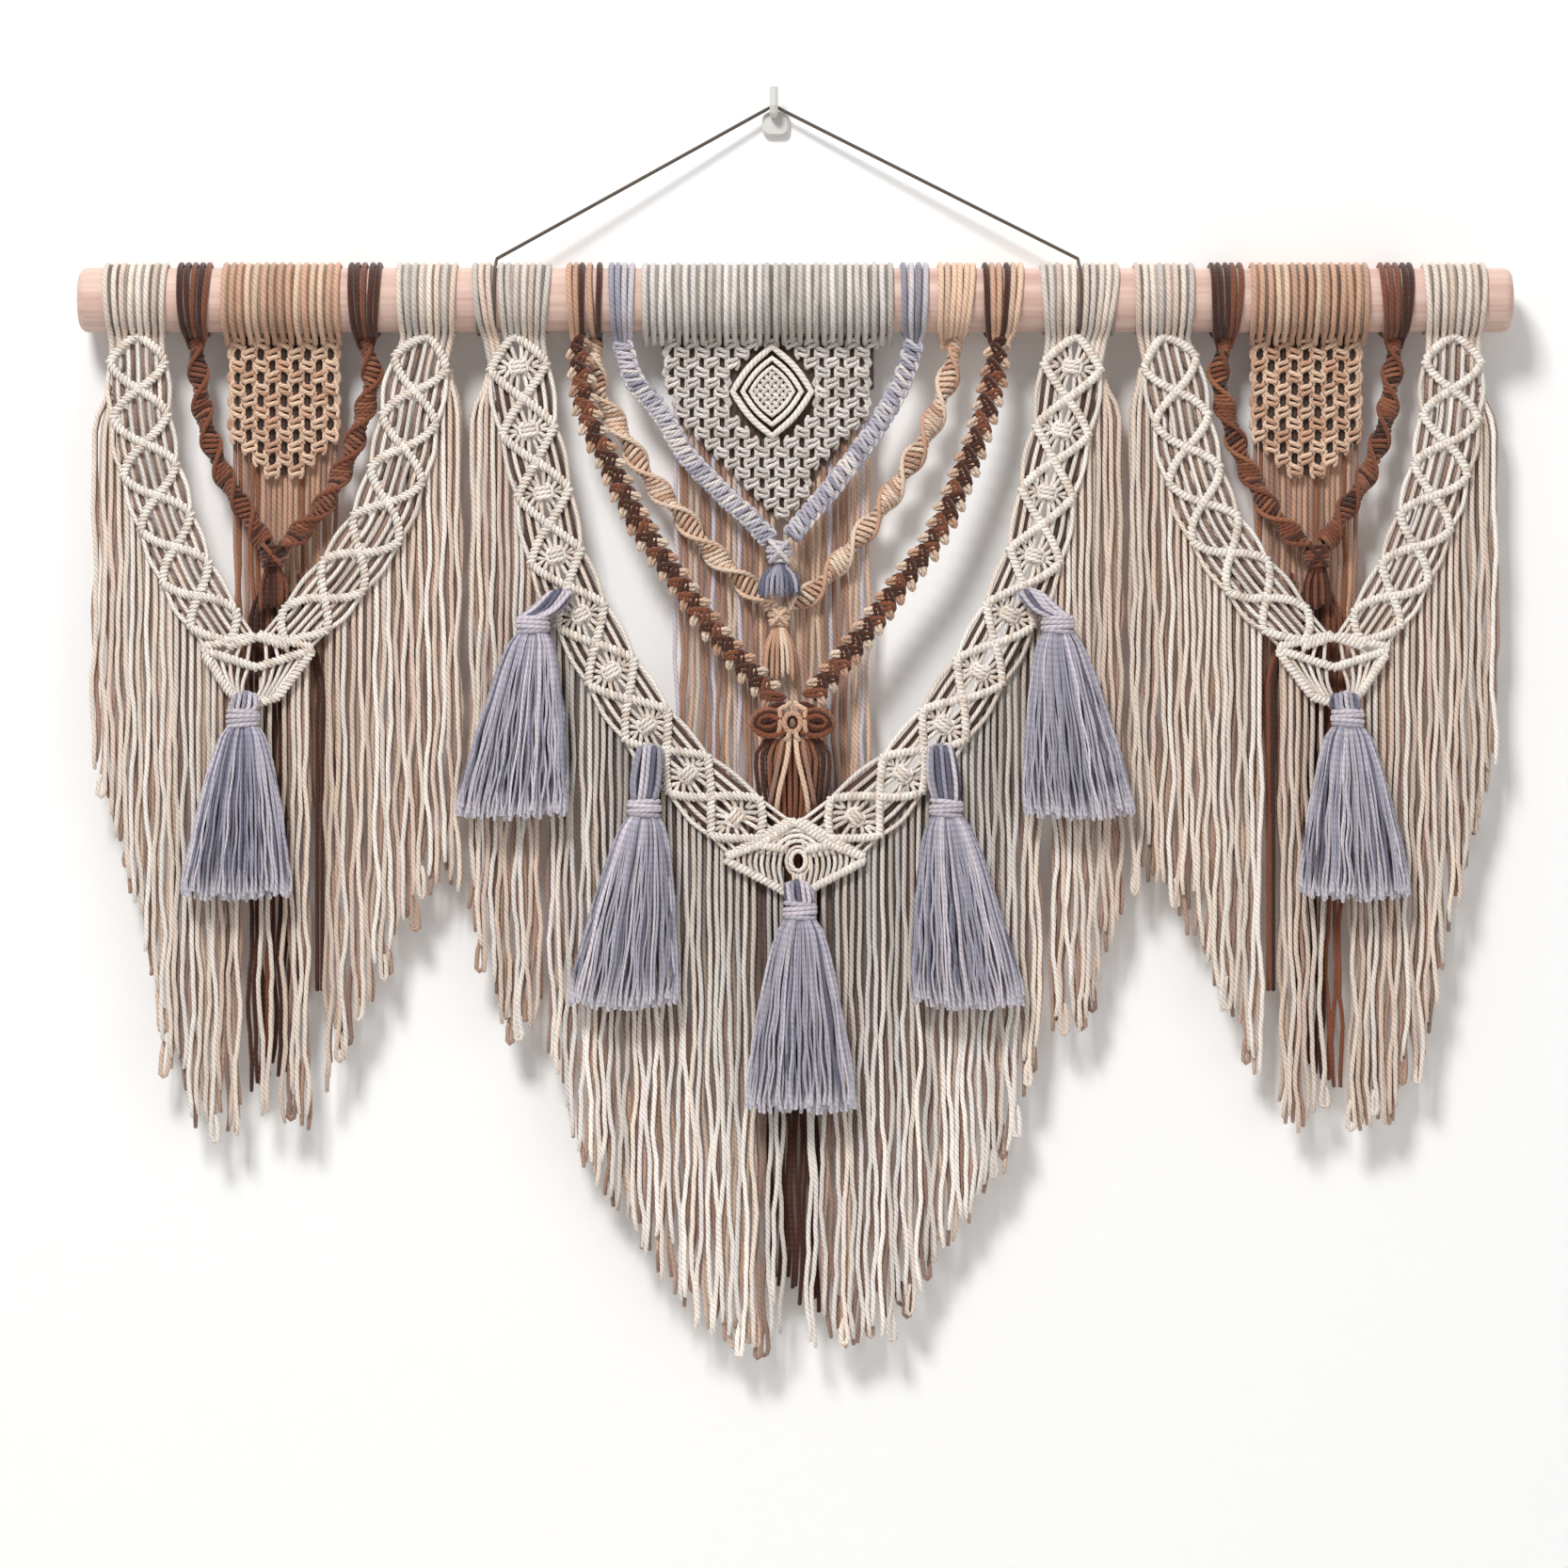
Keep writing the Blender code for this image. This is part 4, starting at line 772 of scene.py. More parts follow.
def hanging_cord(cords, anchor, side, top, hem, y, colour, radius, sway=1.0, loop=False, painted_fade=(1.0, 1.0)):
    """A cord that falls from its anchor to its hem in loose waves, and may end in a small loop.

    Its colour is scaled from the first of two factors at the top to the second, FADE_FALL millimetres below:
    painted shade under the strap, lighter further down.
    """
    fall = hem - top
    count = max(3, int(fall / FRINGE_STEP))
    t = np.linspace(0, 1, count)
    drop = top + fall * t
    free = np.clip((drop - top - 14) / 70, 0, 1)
    wave, depth = np.zeros(count), np.zeros(count)
    lengths = [cords.draw(70, 130), cords.draw(34, 56), cords.draw(16, 26)]
    for length, size in zip(lengths, (0.9, 0.38, 0.16)):
        wave += size * np.sin(math.tau * drop / length + cords.draw(0, math.tau))
        depth += size * 0.35 * np.sin(math.tau * drop / length + cords.draw(0, math.tau))
    wave = wave * free * sway * (0.7 + 0.8 * t)
    settle = np.clip((drop - top) / 24, 0, 1)
    settle = settle * settle * (3 - 2 * settle)
    path = np.stack([anchor[0] + (side - anchor[0]) * settle + wave, drop,
                     anchor[1] + (y - anchor[1]) * settle + depth * free], 1)
    if loop:
        turn = cords.rng.choice((-1, 1))
        size = cords.draw(1.7, 2.6)
        back = cords.draw(8, 16)
        bend = [(0.3, 3, 0), (1, 4.4, 0), (1.7, 2.6, 0), (1.5, -back * 0.5, 0.6), (0.9, -back, 1.0)]
        path = np.vstack([path, path[-1] + np.array(bend) * (turn * size, 1, 1)])
        path[:, 1] = np.minimum(path[:, 1], hem + 4)
    thin = np.full(len(path), radius)
    thin[-1] *= 0.8
    shade = np.interp(path[:, 1], (top, top + FADE_FALL), painted_fade)
    cords.tube(path, thin, colour * shade[:, None])


def cream_fringe(node, mirror, rows, net, larger=True, gaps=(), back_gaps=(), more=(0, 0)):
    """A fringe of cream cords in two layers, hanging from a strap's outer edge."""
    cords = Cords(node, mirror)
    low, high = span(rows)
    low, high = low - more[0], high + more[1]
    # The back layer's colours are darker, as painted shade for the shadow behind the front cords.
    back = (BEIGE, SHADED_PINK, SHADED_PINK, SHADE_DEEP)
    front = (CREAM, CREAM_WARM, CREAM_WARM, CREAM_PINK)
    back_painted_fade = front_painted_fade = (1.0, 1.0)
    if node.startswith("centre"):
        back = (BEIGE, SHADED_PINK, SHADE_DEEP, SHADE_DEEP)
        front = (CREAM, CREAM_WARM, GREY_WHITE, LILAC_WHITE)
        # The centre fringe is darkened at the top as painted shade under the strap, and grows lighter towards
        # the hem.
        back_painted_fade, front_painted_fade = (0.34, 1.14), (0.74, 1.13)
    for y, pitch, radius, colours, painted_fade, openings in (
        (FRINGE_BACK_Y, 3.4, 1.5, back, back_painted_fade, back_gaps),
        (FRINGE_FRONT_Y, 4.2, 1.42, front, front_painted_fade, gaps),
    ):
        count = round((high - low) / pitch)
        for i in range(count):
            side = low + (high - low) * (i + 0.5) / count + cords.draw(-0.7, 0.7)
            if any(a < side < b for a, b in openings):
                continue
            top, hem = top_and_hem(rows, side)
            edge = net.edge(larger, top)
            anchor = min(side, edge - 2) if larger else max(side, edge + 2)
            hem += cords.draw(-9, 4) if cords.rng.random() < 0.8 else cords.draw(-26, -9)
            hanging_cord(cords, (anchor, y), side, top + 1, hem, y, cords.dye(*colours), radius,
                         loop=cords.rng.random() < 0.16, painted_fade=painted_fade)
    cords.finish()


def back_fringe(node, mirror, rows, spine_y, y, colours, strays=(), gather=None):
    """A single layer of cords that hangs behind the others."""
    cords = Cords(node, mirror)
    low, high = span(rows)
    count = round((high - low - 2.6) / BACK_PITCH)
    for i in range(count):
        side = low + 1.4 + (high - low - 2.8) * (i + 0.5) / count + cords.draw(-0.3, 0.3)
        top, hem = top_and_hem(rows, side)
        anchor = side if gather is None else gather + (side - gather) * 0.3
        hanging_cord(cords, (anchor, spine_y), side, top + 1, hem + cords.draw(-6, 4), y, cords.dye(*colours),
                     THIN_CORD, sway=0.8)
    top = rows[-1][1]
    for side, hem in strays:
        path = [(low + 2, top + 1, spine_y), (low + 1, top + 16, y), (side, 212, y - 1)]
        path += [(side, drop, y - 1) for drop in np.arange(232, hem, 22)]
        cords.thread(path, 8, THIN_CORD, colours, sides=6)
    cords.finish()


def square_knot(cords, centre, ahead, across, wide, colours, cord, high, tilt, lean):
    """Two crossing turns round the filler cords, and the loops at both sides."""
    for sign in (-1, 1):
        ring(cords, centre + ahead * sign * high * 0.21, across * wide, (0, 0, -2.0),
             cord * cords.draw(0.95, 1.08), cords.dye(*colours), tilt=ahead * (lean - sign * tilt), steps=9)
    for sign in (1, -1):
        pairs = [(0.72, -0.5), (1.14, -0.2), (1.14, 0.2), (0.72, 0.5)]
        path = [centre + across * sign * wide * u + ahead * high * v + (0, 0, -0.5) for u, v in pairs]
        cords.thread(path, 2.4, cord * 0.92, colours)


def inside(outline, side, drop):
    """True if a place is within an outline of (side, drop) corners."""
    found = False
    for (x0, y0), (x1, y1) in zip(outline, outline[1:] + outline[:1]):
        if (y0 > drop) != (y1 > drop) and side < x0 + (x1 - x0) * (drop - y0) / (y1 - y0):
            found = not found
    return found


def knotted_panel(cords, outline, colours, middle, keep_off=None, pitch=13.1, row_fall=6.5, wide=3.1):
    """A sheet of alternating square knots with the cords that lead from each to the next row."""
    down, across = np.array([0, 1, 0]), np.array([1, 0, 0])
    sides, drops = zip(*outline)
    knots = {}
    for j in range(int((max(drops) - 19.5) / row_fall) + 1):
        drop = 23.6 + row_fall * j
        for i in range(-14, 15):
            side = middle + (i + 0.5 * (j % 2)) * pitch
            within = inside(outline, side - 2.2, drop) and inside(outline, side + 2.2, drop)
            if within and not (keep_off and keep_off(side, drop)):
                knots[2 * i + j % 2, j] = np.array([side, drop, PANEL_Y])
    # Dark cords behind the knots fill the gaps between them with painted shade.
    for side in np.arange(min(sides) + 3, max(sides) - 2, 3.3):
        drops = [drop for drop in np.arange(20, 130, 3.0) if inside(outline, side, drop + 2.5)]
        if len(drops) > 2:
            path = [(side, drops[0], PANEL_Y + 2.2), (side, drops[-1] - 1, PANEL_Y + 2.2)]
            cords.thread(path, 12, 1.7, (SHADE_DARK,), 0.8)
    for (i, j), centre in knots.items():
        shift = cords.draw(-0.3, 0.3, 2)
        square_knot(cords, centre + (*shift, 0), down, across, wide, colours, wide * 0.44, row_fall * 1.32,
                    tilt=0.3, lean=1.2 if j % 2 else -1.2)
        for sign in (1, -1):
            # The cords between knots are darkened a little, as painted shade.
            target, below = knots.get((i + sign, j + 1)), knots.get((i, j + 2))
            if target is not None:
                path = [centre + (sign * 1.6, 1.6, 0.2), centre + (sign * 3.6, 3.6, -0.3),
                        target - (sign * 1.6, 1.6, -0.2)]
                cords.thread(path, 2.6, wide * 0.46, colours, 0.92)
            elif below is not None:
                for reach in (1.2, 3.0):
                    path = [centre + (sign * reach, 2.6, 0), centre + (sign * (reach + 2.0), 6.6, 0.2),
                            below + (sign * reach, -2.6, 0)]
                    cords.thread(path, 3.2, 1.35, colours, 0.85)


def medallion(cords):
    """Three rings of cord about a plain over-under weave of ten strands."""
    centre = np.array([MEDALLION_SIDE, MEDALLION_DROP, PANEL_Y])
    angle = np.arange(RING_STEPS) * math.tau / RING_STEPS
    square = 0.5 / (np.abs(np.cos(angle)) + np.abs(np.sin(angle)))
    for scale, radius, y in ((0.94, 2.0, -2.6), (0.70, 1.6, -3.2), (0.51, 1.3, -3.6)):
        reach = (0.15 + 0.70 * square) * scale
        path = centre + np.stack([MEDALLION_WIDE * reach * np.cos(angle),
                                  MEDALLION_HIGH * reach * np.sin(angle), 0 * angle + y], 1)
        cords.tube(path, radius, cords.dye(CREAM, spread=0.02), closed=True)
    step, long = 2 * WEAVE_HALF / WEAVE_COUNT, WEAVE_HALF + 0.6
    for way in (1, -1):
        for i in range(WEAVE_COUNT):
            offset = -WEAVE_HALF + step * (i + 0.5)
            path = []
            for k in range(WEAVE_COUNT * 2 + 1):
                along = -long + 2 * long * k / (WEAVE_COUNT * 2)
                over = math.cos(math.pi * (along / step + i)) * way
                u, v = (along, offset) if way > 0 else (offset, along)
                path.append((MEDALLION_SIDE + (u + v) * 0.707, MEDALLION_DROP + (u - v) * 0.78,
                             PANEL_Y - 2.6 + over * 0.8))
            # The strands of one way are darker, as painted shade.
            shade = 0.95 if way > 0 else 0.8
            cords.thread(path, 1.7, 1.22, (CREAM,), shade, spread=0.04)
    # Dark cords behind the weave, as painted shade.
    for side in (-9, -6, -3, 0, 3, 6, 9):
        long = 20 - abs(side) * 0.9
        path = [centre + (side, drop, 0.8) for drop in (-long, 0, long)]
        cords.thread(path, 8, 1.5, (SHADE_DARK,))


def in_medallion(side, drop):
    """True where the medallion and the slits beside it leave no room for a knot."""
    away, below = abs(side - MEDALLION_SIDE), abs(drop - MEDALLION_DROP)
    near_slit = abs(away - SLIT_AWAY) < 3.4 and below < SLIT_HIGH / 2
    x, y = away / (MEDALLION_WIDE / 2 + 1.4), below / (MEDALLION_HIGH / 2 + 0.6)
    return x ** 1.25 + y ** 1.25 < 1 or near_slit


def straight_tail(share, side):
    """A tail that goes straight down into a panel."""
    return [(side, 21.5, PANEL_Y - 1.5), (side, 24.5, PANEL_Y)]


def gathered_tail(side_to, y, wide):
    """Tails that gather into the top of a sinnet."""
    def tail(share, side):
        end = side_to + (share - 0.5) * wide
        return [(side * 0.45 + end * 0.55, 20.5, y - 0.8), (end, GATHER_DROP, y)]
    return tail


def flat_sinnet(cords, rows):
    """A chain of square knots along a line, on two straight filler cords."""
    line = Line(rows)
    colours, start, pitch = (BLUE_WHITE, LILAC_WHITE, BLUE_WHITE, BLUE_PALE, BLUE_GREY), 3, 5.2
    # The filler cords are darkened to a third, as painted shade.
    for reach in (-1.2, 1.2):
        cords.tube(line.filler(reach), 1.3, cords.dye(*colours) * 0.3, sides=5)
    for k in range(int((line.length - start) / pitch)):
        row, ahead, across = line.at(start + pitch * (k + 0.5))
        shift = cords.draw(-0.25, 0.25)
        square_knot(cords, row + across * shift, ahead, across, 4.5, colours, 1.25, pitch, tilt=0.5, lean=1.5)


def twisted_sinnet(cords, rows, colours, pod, wide, pitch, thick):
    """A flat band of knots that turns half round with each pod, so that it is wide and narrow by turns."""
    line = Line(rows)
    depth, start, cord = np.array([0, 0, 1]), 2, 1.35
    edges = ([], [])
    for k in range(int((line.length - start) / pitch) + 1):
        row, ahead, across = line.at(start + pitch * k)
        turn = math.pi * (start + pitch * k) / pod
        flat = across * math.cos(turn) + depth * math.sin(turn)
        other = depth * math.cos(turn) - across * math.sin(turn)
        grow = min(1, 0.55 + k * 0.15)
        for edge, sign in zip(edges, (1, -1)):
            edge.append(row + flat * sign * (wide + 0.7) * grow)
        ring(cords, row, flat * wide * grow, other * thick, cord * cords.draw(0.94, 1.06),
             cords.dye(*colours, spread=0.05), tilt=ahead * 1.7, steps=9)
    for edge in edges:
        cords.thread(edge, 2.6, cord, colours, sides=6, spread=0.03)


def chain(cords, rows):
    """Dark loops that zigzag down the middle, each with a light loop round one edge."""
    line = Line(rows)
    for k in range(int((line.length - 1) / CHAIN_PITCH)):
        row, ahead, across = line.at(1 + CHAIN_PITCH * (k + 0.5))
        sign = 1 if k % 2 else -1
        small = min(1, 0.7 + 0.15 * k) * cords.draw(0.93, 1.07)
        for away, lift, way, long, short, colours in (
            (0.5, -1.8, sign, 6.7, 1.5, (BROWN_DARK, BROWN_DARK, BROWN)),
            (-3.6, -0.9, -sign, 4.6, 1.3, (TAN_LIGHT, TAN_PALE, TAN)),
        ):
            lean = math.radians(cords.draw(36, 48))
            reach = (across * way * math.cos(lean) + ahead * math.sin(lean)) * long * small
            width = (ahead * math.cos(lean) - across * way * math.sin(lean)) * short
            place = row + across * sign * away + (0, 0, lift)
            ring(cords, place, reach + (0, 0, 1.2), width + (0, 0, 0.6), 1.6, cords.dye(*colours), steps=11)
    for reach, colour in ((-1.8, BROWN), (1.8, BROWN_DARK)):
        cords.tube(line.filler(reach, 1.2), 1.7, linear(colour), sides=5)


def header_colour(cords):
    """Picks the colour of a wrap by its side, as the wraps of the middle part change from group to group."""
    bands = ((-999, TAN), (-121.0, BROWN_DARK), (-116.8, TAN), (-112.3, BROWN_DARK), (-104.9, BLUE_GREY),
             (-95.5, BLUE_WHITE), (55.5, BLUE_GREY), (61, BLUE_WHITE), (66, BLUE_GREY), (70.5, BLUE_WHITE),
             (77, TAN_LIGHT), (103, BROWN_DARK), (109.3, TAN), (114.8, BROWN_DARK), (119.3, TAN_LIGHT))
    return lambda side: cords.dye([colour for start, colour in bands if side >= start][-1])


def knot_and_tuft(node, mirror, knot, strands, colours, tuft_colours):
    """A round gathering knot of several turns, with the cords' ends hanging below it."""
    cords = Cords(node, mirror)
    reach = knot.radius
    for share in (-0.62, -0.3, 0.02, 0.34, 0.66):
        size = reach * math.sqrt(1 - share * share) - 0.9
        centre = np.array([knot.side, knot.drop + reach * share, knot.y])
        ring(cords, centre, (size, 0, 0), (0, 0, -size * 0.78), 1.3, cords.dye(*colours, spread=0.04),
             tilt=(0, cords.draw(-0.9, 0.9), 0), steps=12, sides=6)
    for sign in (1, -1):
        path = [(knot.side + sign * t * reach * 0.72, knot.drop + t * reach * 0.82,
                 knot.y - reach * 0.8 * math.sqrt(1 - 0.75 * t * t) - 0.3) for t in np.linspace(-1, 1, 9)]
        cords.thread(path, 2.6, 1.35, colours, sides=6, spread=0.04)
    top = knot.drop + reach * 0.6
    for i in range(strands):
        share = (i + 0.5) / strands * 2 - 1
        front = -knot.tuft_deep if i % 2 else knot.tuft_deep
        side = knot.side + share * knot.tuft_wide + cords.draw(-0.5, 0.5)
        path = [(knot.side + share * reach * 0.45, top, knot.y + 0.3 * front),
                (knot.side + share * reach * 0.7, top + 5, (knot.y + knot.tuft_y) / 2 + front * 0.7),
                ((side * 2 + knot.side + share * reach) / 3, (top + knot.tuft_drop) / 2,
                 knot.tuft_y + front),
                (side, knot.tuft_drop + cords.draw(-3, 1.5), knot.tuft_y + front)]
        cords.thread(path, 5, 1.2, tuft_colours, sides=6)
    cords.finish()


def bow_knot():
    """Two full loops with a ring between them, where the chains meet."""
    cords = Cords("bow_knot")
    centre = np.array([BOW_SIDE, BOW_DROP, BOW_Y])
    for sign in (1, -1):
        # The outer turn of each loop is lighter, as a painted highlight, and the turns inside it darker, as
        # painted shade.
        for wide, high, y, colour in ((9.4, 7.0, -0.2, BROWN_LIGHT), (7.4, 5.2, -1.4, BROWN_DARK),
                                      (5.2, 3.2, -2.0, BROWN), (3.0, 1.3, -1.2, BROWN_DARK)):
            place = centre + (sign * 13.6, -0.3, y)
            ring(cords, place, (wide, sign * wide * 0.1, 0), (0, high, 1.4), 1.35, cords.dye(colour),
                 steps=14)
        for radius, colour, places in (
            (1.8, BROWN, ((23, 2.0, 0.5), (18, 6.6, -1), (11, 7.8, -1.5), (4, 4.8, -2))),
            (1.6, BROWN, ((20, -6.5, 0), (12, -3.2, -2.6), (6, -1.6, -3.4))),
            (1.55, TAN, ((8, -8.5, 0.5), (6.9, -4, -3), (7.0, 3, -3), (8.4, 8.5, 0))),
            (1.6, TAN_LIGHT, ((1.2, -11, -0.5), (4.4, -8.2, -2.0), (9.5, -6.8, 0))),
            (1.7, BROWN_DARK, ((3, -9.5, 0), (8, -9.8, -1.5), (14, -6.5, 0))),
        ):
            path = [centre + (sign * side, drop, y) for side, drop, y in places]
            cords.thread(path, 3, radius, (colour,), sides=6)
    for y, wide, high, radius, colour, steps in ((-3.4, 4.6, 5.3, 1.7, TAN, 14),
                                                 (-0.6, 3.2, 4.2, 2.0, BROWN_DARK, 12)):
        ring(cords, centre + (0, 0.3, y), (wide, 0, 0), (0, high, 0), radius, cords.dye(colour),
             steps=steps, sides=6)
    for shift in (-1.6, 1.6):
        path = [centre + (shift * 2.4, 10, -0.4), centre + (shift * 1.2, 7.4, -3.0),
                centre + (shift, 5.2, -3.6)]
        cords.thread(path, 2.6, 1.5, (TAN_LIGHT,), sides=6)
    cords.finish()


def bow_fringe():
    """The brown and tan cords that hang from the bow and go on behind the swag."""
    cords = Cords("bow_fringe")
    low, high = span(BOW_FRINGE)
    for layer, count in ((0, 13), (1, 12)):
        for i in range(count):
            share = (i + 0.5) / count
            side = low + 1.5 + (high - low - 3) * share
            hem = top_and_hem(BOW_FRINGE, side)[1] + cords.draw(-14, 3)
            if layer:
                hem = 325 + cords.draw(-6, 6)
            light = layer and abs(share - 0.5) < 0.3
            colour = cords.dye(TAN, PINK_BROWN, BROWN_LIGHT) if light else cords.dye(BROWN_DARK)
            spread = BOW_SIDE + (side - BOW_SIDE) * 1.45
            front = -1.6 * layer
            path = [(BOW_SIDE + (share - 0.5) * 22, 241.5, -31.2 + front), (spread, 253, -29.4 + front),
                    (spread, 266, -25.6 + front), (side + (spread - side) * 0.6, 282, -19.8 + front)]
            path += [(side, drop, BROWN_FRINGE_Y + 0.6 + front * 0.5) for drop in np.arange(298, hem - 8, 24)]
            path = smooth([*path, (side, hem, BROWN_FRINGE_Y + 0.6)], 8)
            free = np.clip((path[:, 1] - 262) / 80, 0, 1)
            path[:, 0] += 0.9 * np.sin(path[:, 1] / cords.draw(9, 14) + i) * free
            cords.tube(path, 1.35, colour)
    for sign in (1, -1):
        for radius, colour, places in (
            (1.6, TAN_LIGHT, ((1.5, 241, -34.5), (3.0, 256, -33.2), (7.5, 275, -28), (9.5, 290, -21))),
            (1.5, PINK_BROWN, ((5, 243, -33.5), (8.5, 262, -31), (13, 284, -22))),
        ):
            path = [(BOW_SIDE + sign * side, drop, y) for side, drop, y in places]
            cords.thread(path, 6, radius, (colour,), sides=6)
    cords.finish()


def tassel(node, mirror, row):
    """A tassel: loops over the edge of the net, a wrapped neck, and a skirt of loose strands."""
    cords = Cords(node, mirror)
    neck = np.array([row.neck_side, row.neck_drop, TASSEL_Y])
    head = np.array([row.side, row.drop, STRAP_Y - 7.0])
    for i in range(11):
        share = i / 10 * 2 - 1
        front = -1 if i % 2 else 1
        path = [head + (share * 4.0, -1.5, 3.4),
                head + (share * 6.4, -3.6 + 2 * abs(share), -0.5 + 1.8 * front),
                (head + neck) / 2 + (share * (7.6 + cords.draw(-1, 1)), -1.0, -1.5 + 2.4 * front),
                neck + (share * 6.6, -4.5, front * 4.2)]
        cords.thread(path, 3, 1.3, (BLUE_PALE, LILAC, BLUE_GREY, BLUE_DEEP), sides=6)
    for i in range(4):
        size = 8.6 - 0.5 * abs(i - 1.5)
        ring(cords, neck + (0, -3.6 + 2.4 * i, 0), (size, 0, 0), (0, 0, -size * 0.72), 1.5,
             cords.dye(LILAC, BLUE_PALE, LILAC, spread=0.04), tilt=(0, cords.draw(-0.9, 0.9), 0),
             steps=14, sides=6)
    skirt = row.neck_drop + 3
    lean = row.hem_side - row.neck_side
    clumps = cords.draw(-1, 1, 9)
    t = np.linspace(0, 1, SKIRT_STEPS)
    wide = SKIRT_NECK + (SKIRT_HEM - SKIRT_NECK) * np.clip(t / 0.94, 0, 1) ** 0.58
    thick = SKIRT_DEEP * (0.6 + 0.34 * np.clip(t * 3, 0, 1))
    for layer, strands, reach in ((0, 84, 1.0), (1, 40, 0.7), (2, 12, 0.3)):
        for i in range(strands):
            angle = (i + cords.draw(0.1, 0.9)) / strands * math.tau
            around, deep = math.cos(angle), math.sin(angle)
            hem = row.hem_drop + cords.draw(-4.5, 1.5) - 3 * abs(around) ** 3
            clump = 1.1 * math.sin(around * 9 + clumps[i % 9] * 0.5 + layer)
            sway, turns, phase = cords.draw(0.3, 1.3), cords.draw(1.2, 3.8), cords.rng.random()
            wave = sway * np.sin(math.tau * (t * turns + phase)) * t ** 0.7
            wide_share = around * (0.86 + 0.14 * abs(around))
            deep_share = deep * (0.9 + 0.1 * math.sin(5 * angle))
            path = np.stack([row.neck_side + lean * t + wide * wide_share * reach + wave + clump * t,
                             skirt + (hem - skirt) * t,
                             TASSEL_Y + thick * reach * deep_share + 0.3 * wave], 1)
            colour = cords.dye(BLUE_GREY, BLUE_GREY, BLUE_PALE, BLUE_PALE, BLUE_DEEP, LILAC, spread=0.1)
            colour = np.tile(colour, (SKIRT_STEPS, 1))
            colour[-1] = linear(LILAC_LIGHT)
            colour[-2] = colour[-2] * 0.6 + linear(LILAC) * 0.4
            thin = np.full(SKIRT_STEPS, cords.draw(0.62, 0.88))
            thin[-1] *= 1.5
            cords.tube(path, thin, colour, sides=5)
    cords.finish(STRANDS)


def flat_sheet(name, corners, colour):
    """A plain sheet of the studio, such as the floor."""
    mesh = bpy.data.meshes.new(name)
    mesh.from_pydata(corners, [], [(0, 1, 2, 3)])
    nodes = Nodes(name + "_paint")
    nodes.shader.inputs["Base Color"].default_value = (*colour, 1)
    nodes.shader.inputs["Roughness"].default_value = 0.95
    nodes.shader.inputs["Specular IOR Level"].default_value = 0.1
    mesh.materials.append(nodes.material)
    link(name, mesh)
    return nodes


def studio():
    """A pale floor and backdrop, lights above the camera, beside it and behind, and even light all round."""
    half, low, high, behind = 1.2, -1.05, 0.75, 0.001
    flat_sheet("floor", [(-half, -half, low), (half, -half, low), (half, 1, low), (-half, 1, low)],
               (0.66, 0.655, 0.645))
    corners = [(-half, behind, low), (half, behind, low), (half, behind, high), (-half, behind, high)]
    backdrop = flat_sheet("backdrop", corners, (0.93, 0.925, 0.915))
    # The backdrop is clear from behind and to shadow rays, so that the hanging shows from every side.
    clear = backdrop.add("ShaderNodeBsdfTransparent")
    share = backdrop.maths("MAXIMUM", backdrop.add("ShaderNodeNewGeometry").outputs["Backfacing"],
                           backdrop.add("ShaderNodeLightPath").outputs["Is Shadow Ray"])
    shaders = {0: share, 1: backdrop.shader.outputs[0], 2: clear.outputs[0]}
    mixed = backdrop.add("ShaderNodeMixShader", shaders)
    backdrop.put(backdrop.tree.nodes["Material Output"].inputs["Surface"], mixed.outputs[0])
    for name, place, size, power in (
        ("key", (-0.9, -2.4, 1.9), 0.8, 92),
        ("fill", (2.2, -2.4, -0.2), 2.0, 12),
        ("back", (0.6, 2.2, 1.3), 1.6, 26),
    ):
        data = bpy.data.lights.new(name, "AREA")
        data.energy, data.size = power, size
        lamp = link(name, data)
        lamp.location = place
        x, y, z = np.array(LIGHTS_AIM) - place
        lamp.rotation_euler = (math.pi / 2 + math.atan2(z, math.hypot(x, y)), 0, -math.atan2(x, y))
    world = bpy.data.worlds.new("studio")
    bpy.context.scene.world = world
    world.use_nodes = True
    world.node_tree.nodes["Background"].inputs["Color"].default_value = (1, 1, 1, 1)
    world.node_tree.nodes["Background"].inputs["Strength"].default_value = 0.41
    bpy.context.scene.view_settings.view_transform = "Standard"


camera()
COTTON = cord_material("cotton_cord", 3, 9.5, 0.66, 0.82, 0.3, height=0.00035)
STRANDS = cord_material("loose_strands", 2, 7, 0.60, 0.72, 0.4)
STRING = cord_material("thin_string", 3, 4.5, 0.6, 0.75, 0.1)
hanging_string()
studio()

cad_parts["rod"].material_slots[0].material = wood_material()
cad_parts["wall_hook"].material_slots[0].material = plastic_material()

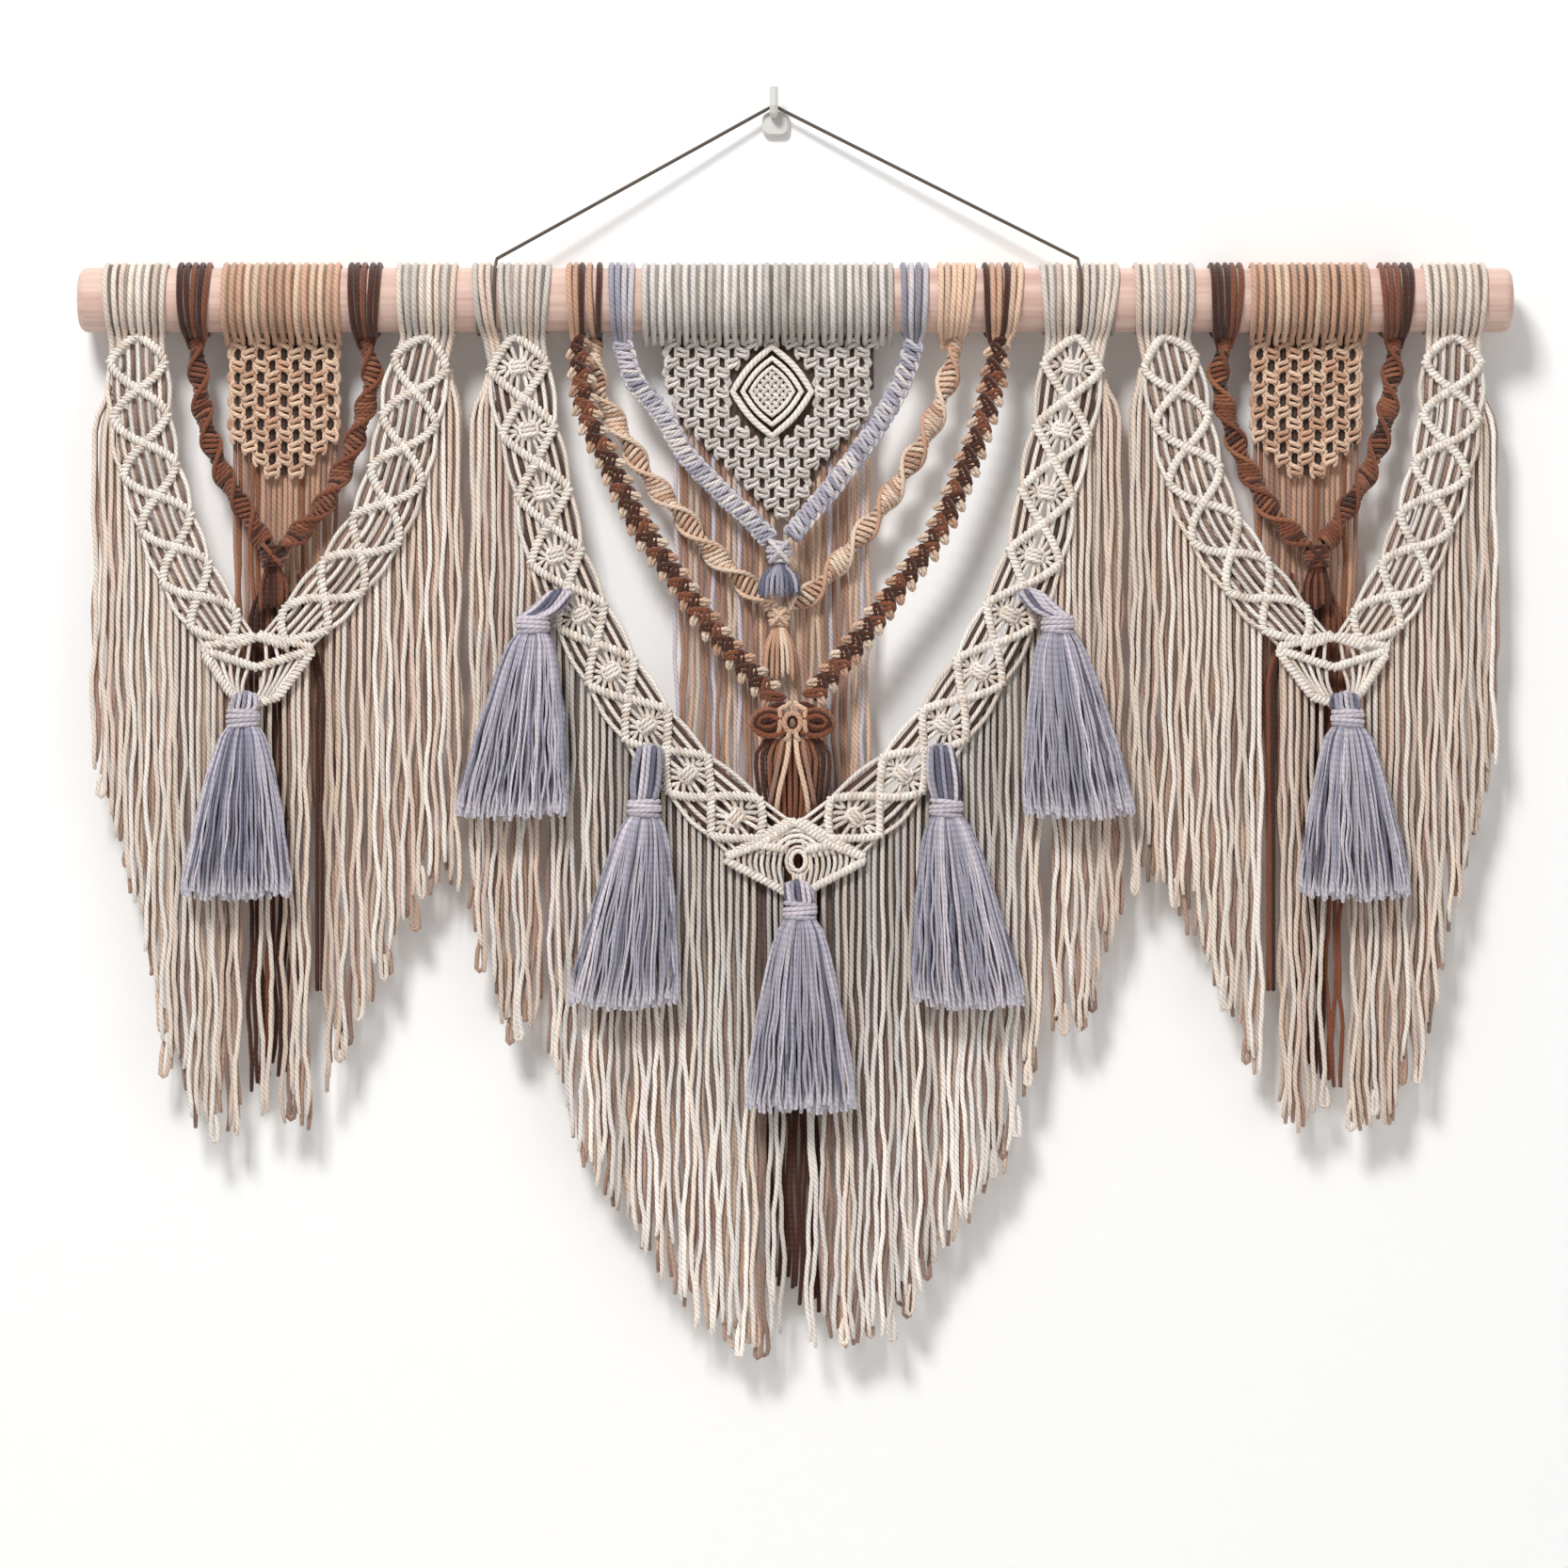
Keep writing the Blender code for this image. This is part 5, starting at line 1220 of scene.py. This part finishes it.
outer_net = Net(OUTER_STRAP, OUTER_END, SIDE_CELLS)
inner_net = Net(INNER_STRAP, INNER_END, SIDE_CELLS)
centre_net = Net(CENTRE_STRAP, CENTRE_END, CENTRE_CELLS)
for word, sign in (("left", -1), ("right", 1)):
    strap(f"outer_strap_{word}", sign, outer_net, [(349, 386)])
    strap(f"inner_strap_{word}", sign, inner_net, [(188, 223)])
    centre_groups = [(136, 166), (169, 181)] if sign < 0 else [(136, 157.1), (160.1, 181)]
    strap(f"centre_strap_{word}", sign, centre_net, centre_groups, gathered=True)
    side_tip(f"swag_tip_{word}", sign)
    cream_fringe(f"outer_fringe_{word}", sign, OUTER_FRINGE, outer_net, gaps=((305, 307.4),),
                 back_gaps=((305, 311),))
    cream_fringe(f"inner_fringe_{word}", sign, INNER_FRINGE, inner_net, larger=False, more=(0.8, 0),
                 gaps=((264, 268.5), (290, 292.6), (295.5, 298), (301.5, 305)),
                 back_gaps=((262, 269), (284, 305)))
    cream_fringe(f"upper_fringe_{word}", sign, UPPER_FRINGE, centre_net, more=(2.2, 0.8))
    cream_fringe(f"centre_fringe_{word}", sign, CENTRE_FRINGE, centre_net, gaps=((0, 3.5), (19, 22)),
                 back_gaps=((0, 16),), more=(0, 2.4))
    cords = Cords(f"tan_panel_{word}", sign)
    wrapped(cords, 253, 320, straight_tail, (TAN, TAN, TAN_LIGHT), start=162)
    knotted_panel(cords, TAN_PANEL, (TAN_LIGHT, TAN_LIGHT, TAN), 286)
    cords.finish()
    # The darker browns among the tan fringe's colours are painted shade, as it hangs behind the others.
    back_fringe(f"tan_fringe_{word}", sign, TAN_FRINGE, BACK_SPINE_Y, BACK_FRINGE_Y,
                (TAN, PINK_BROWN, TAN, BROWN_LIGHT))
    for part, rows, ends in (("outer", OUTER_SPIRAL, (325, 345)), ("inner", INNER_SPIRAL, (230, 250))):
        cords = Cords(f"{part}_spiral_{word}", sign)
        wrapped(cords, *ends, gathered_tail(rows[0][0], -23, 7), (BROWN, BROWN, BROWN_DARK), 158, TIGHT_PITCH)
        twisted_sinnet(cords, rows, (BROWN, BROWN, BROWN_DARK, BROWN_LIGHT), 20, 4.7, pitch=2.7, thick=3.1)
        cords.finish()
    knot_and_tuft(f"brown_knot_{word}", sign, BROWN_KNOT, 8, (BROWN, BROWN_DARK), (BROWN, BROWN_DARK))
    back_fringe(f"brown_fringe_{word}", sign, BROWN_FRINGE, -21, BROWN_FRINGE_Y,
                (BROWN, BROWN_DARK, BROWN_DARK), strays=((264.8, 402), (267.6, 388)),
                gather=BROWN_KNOT.side)
centre_tip()

cords = Cords("centre_panel")
wrapped(cords, -86.1, 55.2, straight_tail, (LILAC_WHITE, GREY_WHITE), start=162)
knotted_panel(cords, CENTRE_PANEL, (LILAC_WHITE, LILAC_WHITE, GREY_WHITE), MEDALLION_SIDE, in_medallion,
              11.2, 5.6, 2.95)
medallion(cords)
cords.finish()
for word, rows in (("left", PANEL_FRINGE_LEFT), ("right", PANEL_FRINGE_RIGHT)):
    back_fringe(f"panel_fringe_{word}", 1, rows, BACK_SPINE_Y, BACK_FRINGE_Y,
                (PINK_TAN, TAN_LIGHT, PINK_BROWN, PINK_BROWN, CREAM_PINK, LILAC))

for name, slot, rows, ends, start in (
    ("blue_sinnet_left", "blue_white_cord", BLUE_LEFT, (-104.5, -89.3), 150),
    ("blue_sinnet_right", "blue_white_cord", BLUE_RIGHT, (57.8, 75.1), 150),
    ("tan_sinnet_left", "tan_cord", TAN_LEFT, (-116.6, -107.2), 160),
    ("tan_sinnet_right", "tan_cord", TAN_RIGHT, (79.3, 101.4), 160),
    ("chain_left", "brown_tan_cord", CHAIN_LEFT, (-127.6, -117.2), 146),
    ("chain_right", "brown_tan_cord", CHAIN_RIGHT, (104, 127.6), 146),
):
    cords = Cords(name)
    tail = gathered_tail(rows[1][0], rows[1][2] + 1, 7 if ends[1] - ends[0] > 12 else 5)
    wrapped(cords, *ends, tail, header_colour(cords), start, TIGHT_PITCH)
    if name.startswith("blue"):
        flat_sinnet(cords, rows)
    elif name.startswith("tan"):
        twisted_sinnet(cords, rows, (TAN_LIGHT, TAN_PALE, TAN_LIGHT, TAN), 24, 5.0, pitch=3.1, thick=2.4)
    else:
        chain(cords, rows)
    cords.finish()
knot_and_tuft("blue_knot", 1, BLUE_KNOT, 17, (BLUE_WHITE, LILAC_WHITE), (BLUE_GREY, BLUE_PALE, BLUE_DEEP))
knot_and_tuft("tan_knot", 1, TAN_KNOT, 13, (TAN_LIGHT,), (TAN_LIGHT, TAN_PALE, TAN))
bow_knot()
bow_fringe()

for row in SIDE_TASSELS:
    tassel(f"{row.name}_tassel_left", -1, row)
    tassel(f"{row.name}_tassel_right", 1, row)
tassel("centre_tassel", 1, CENTRE_TASSEL)
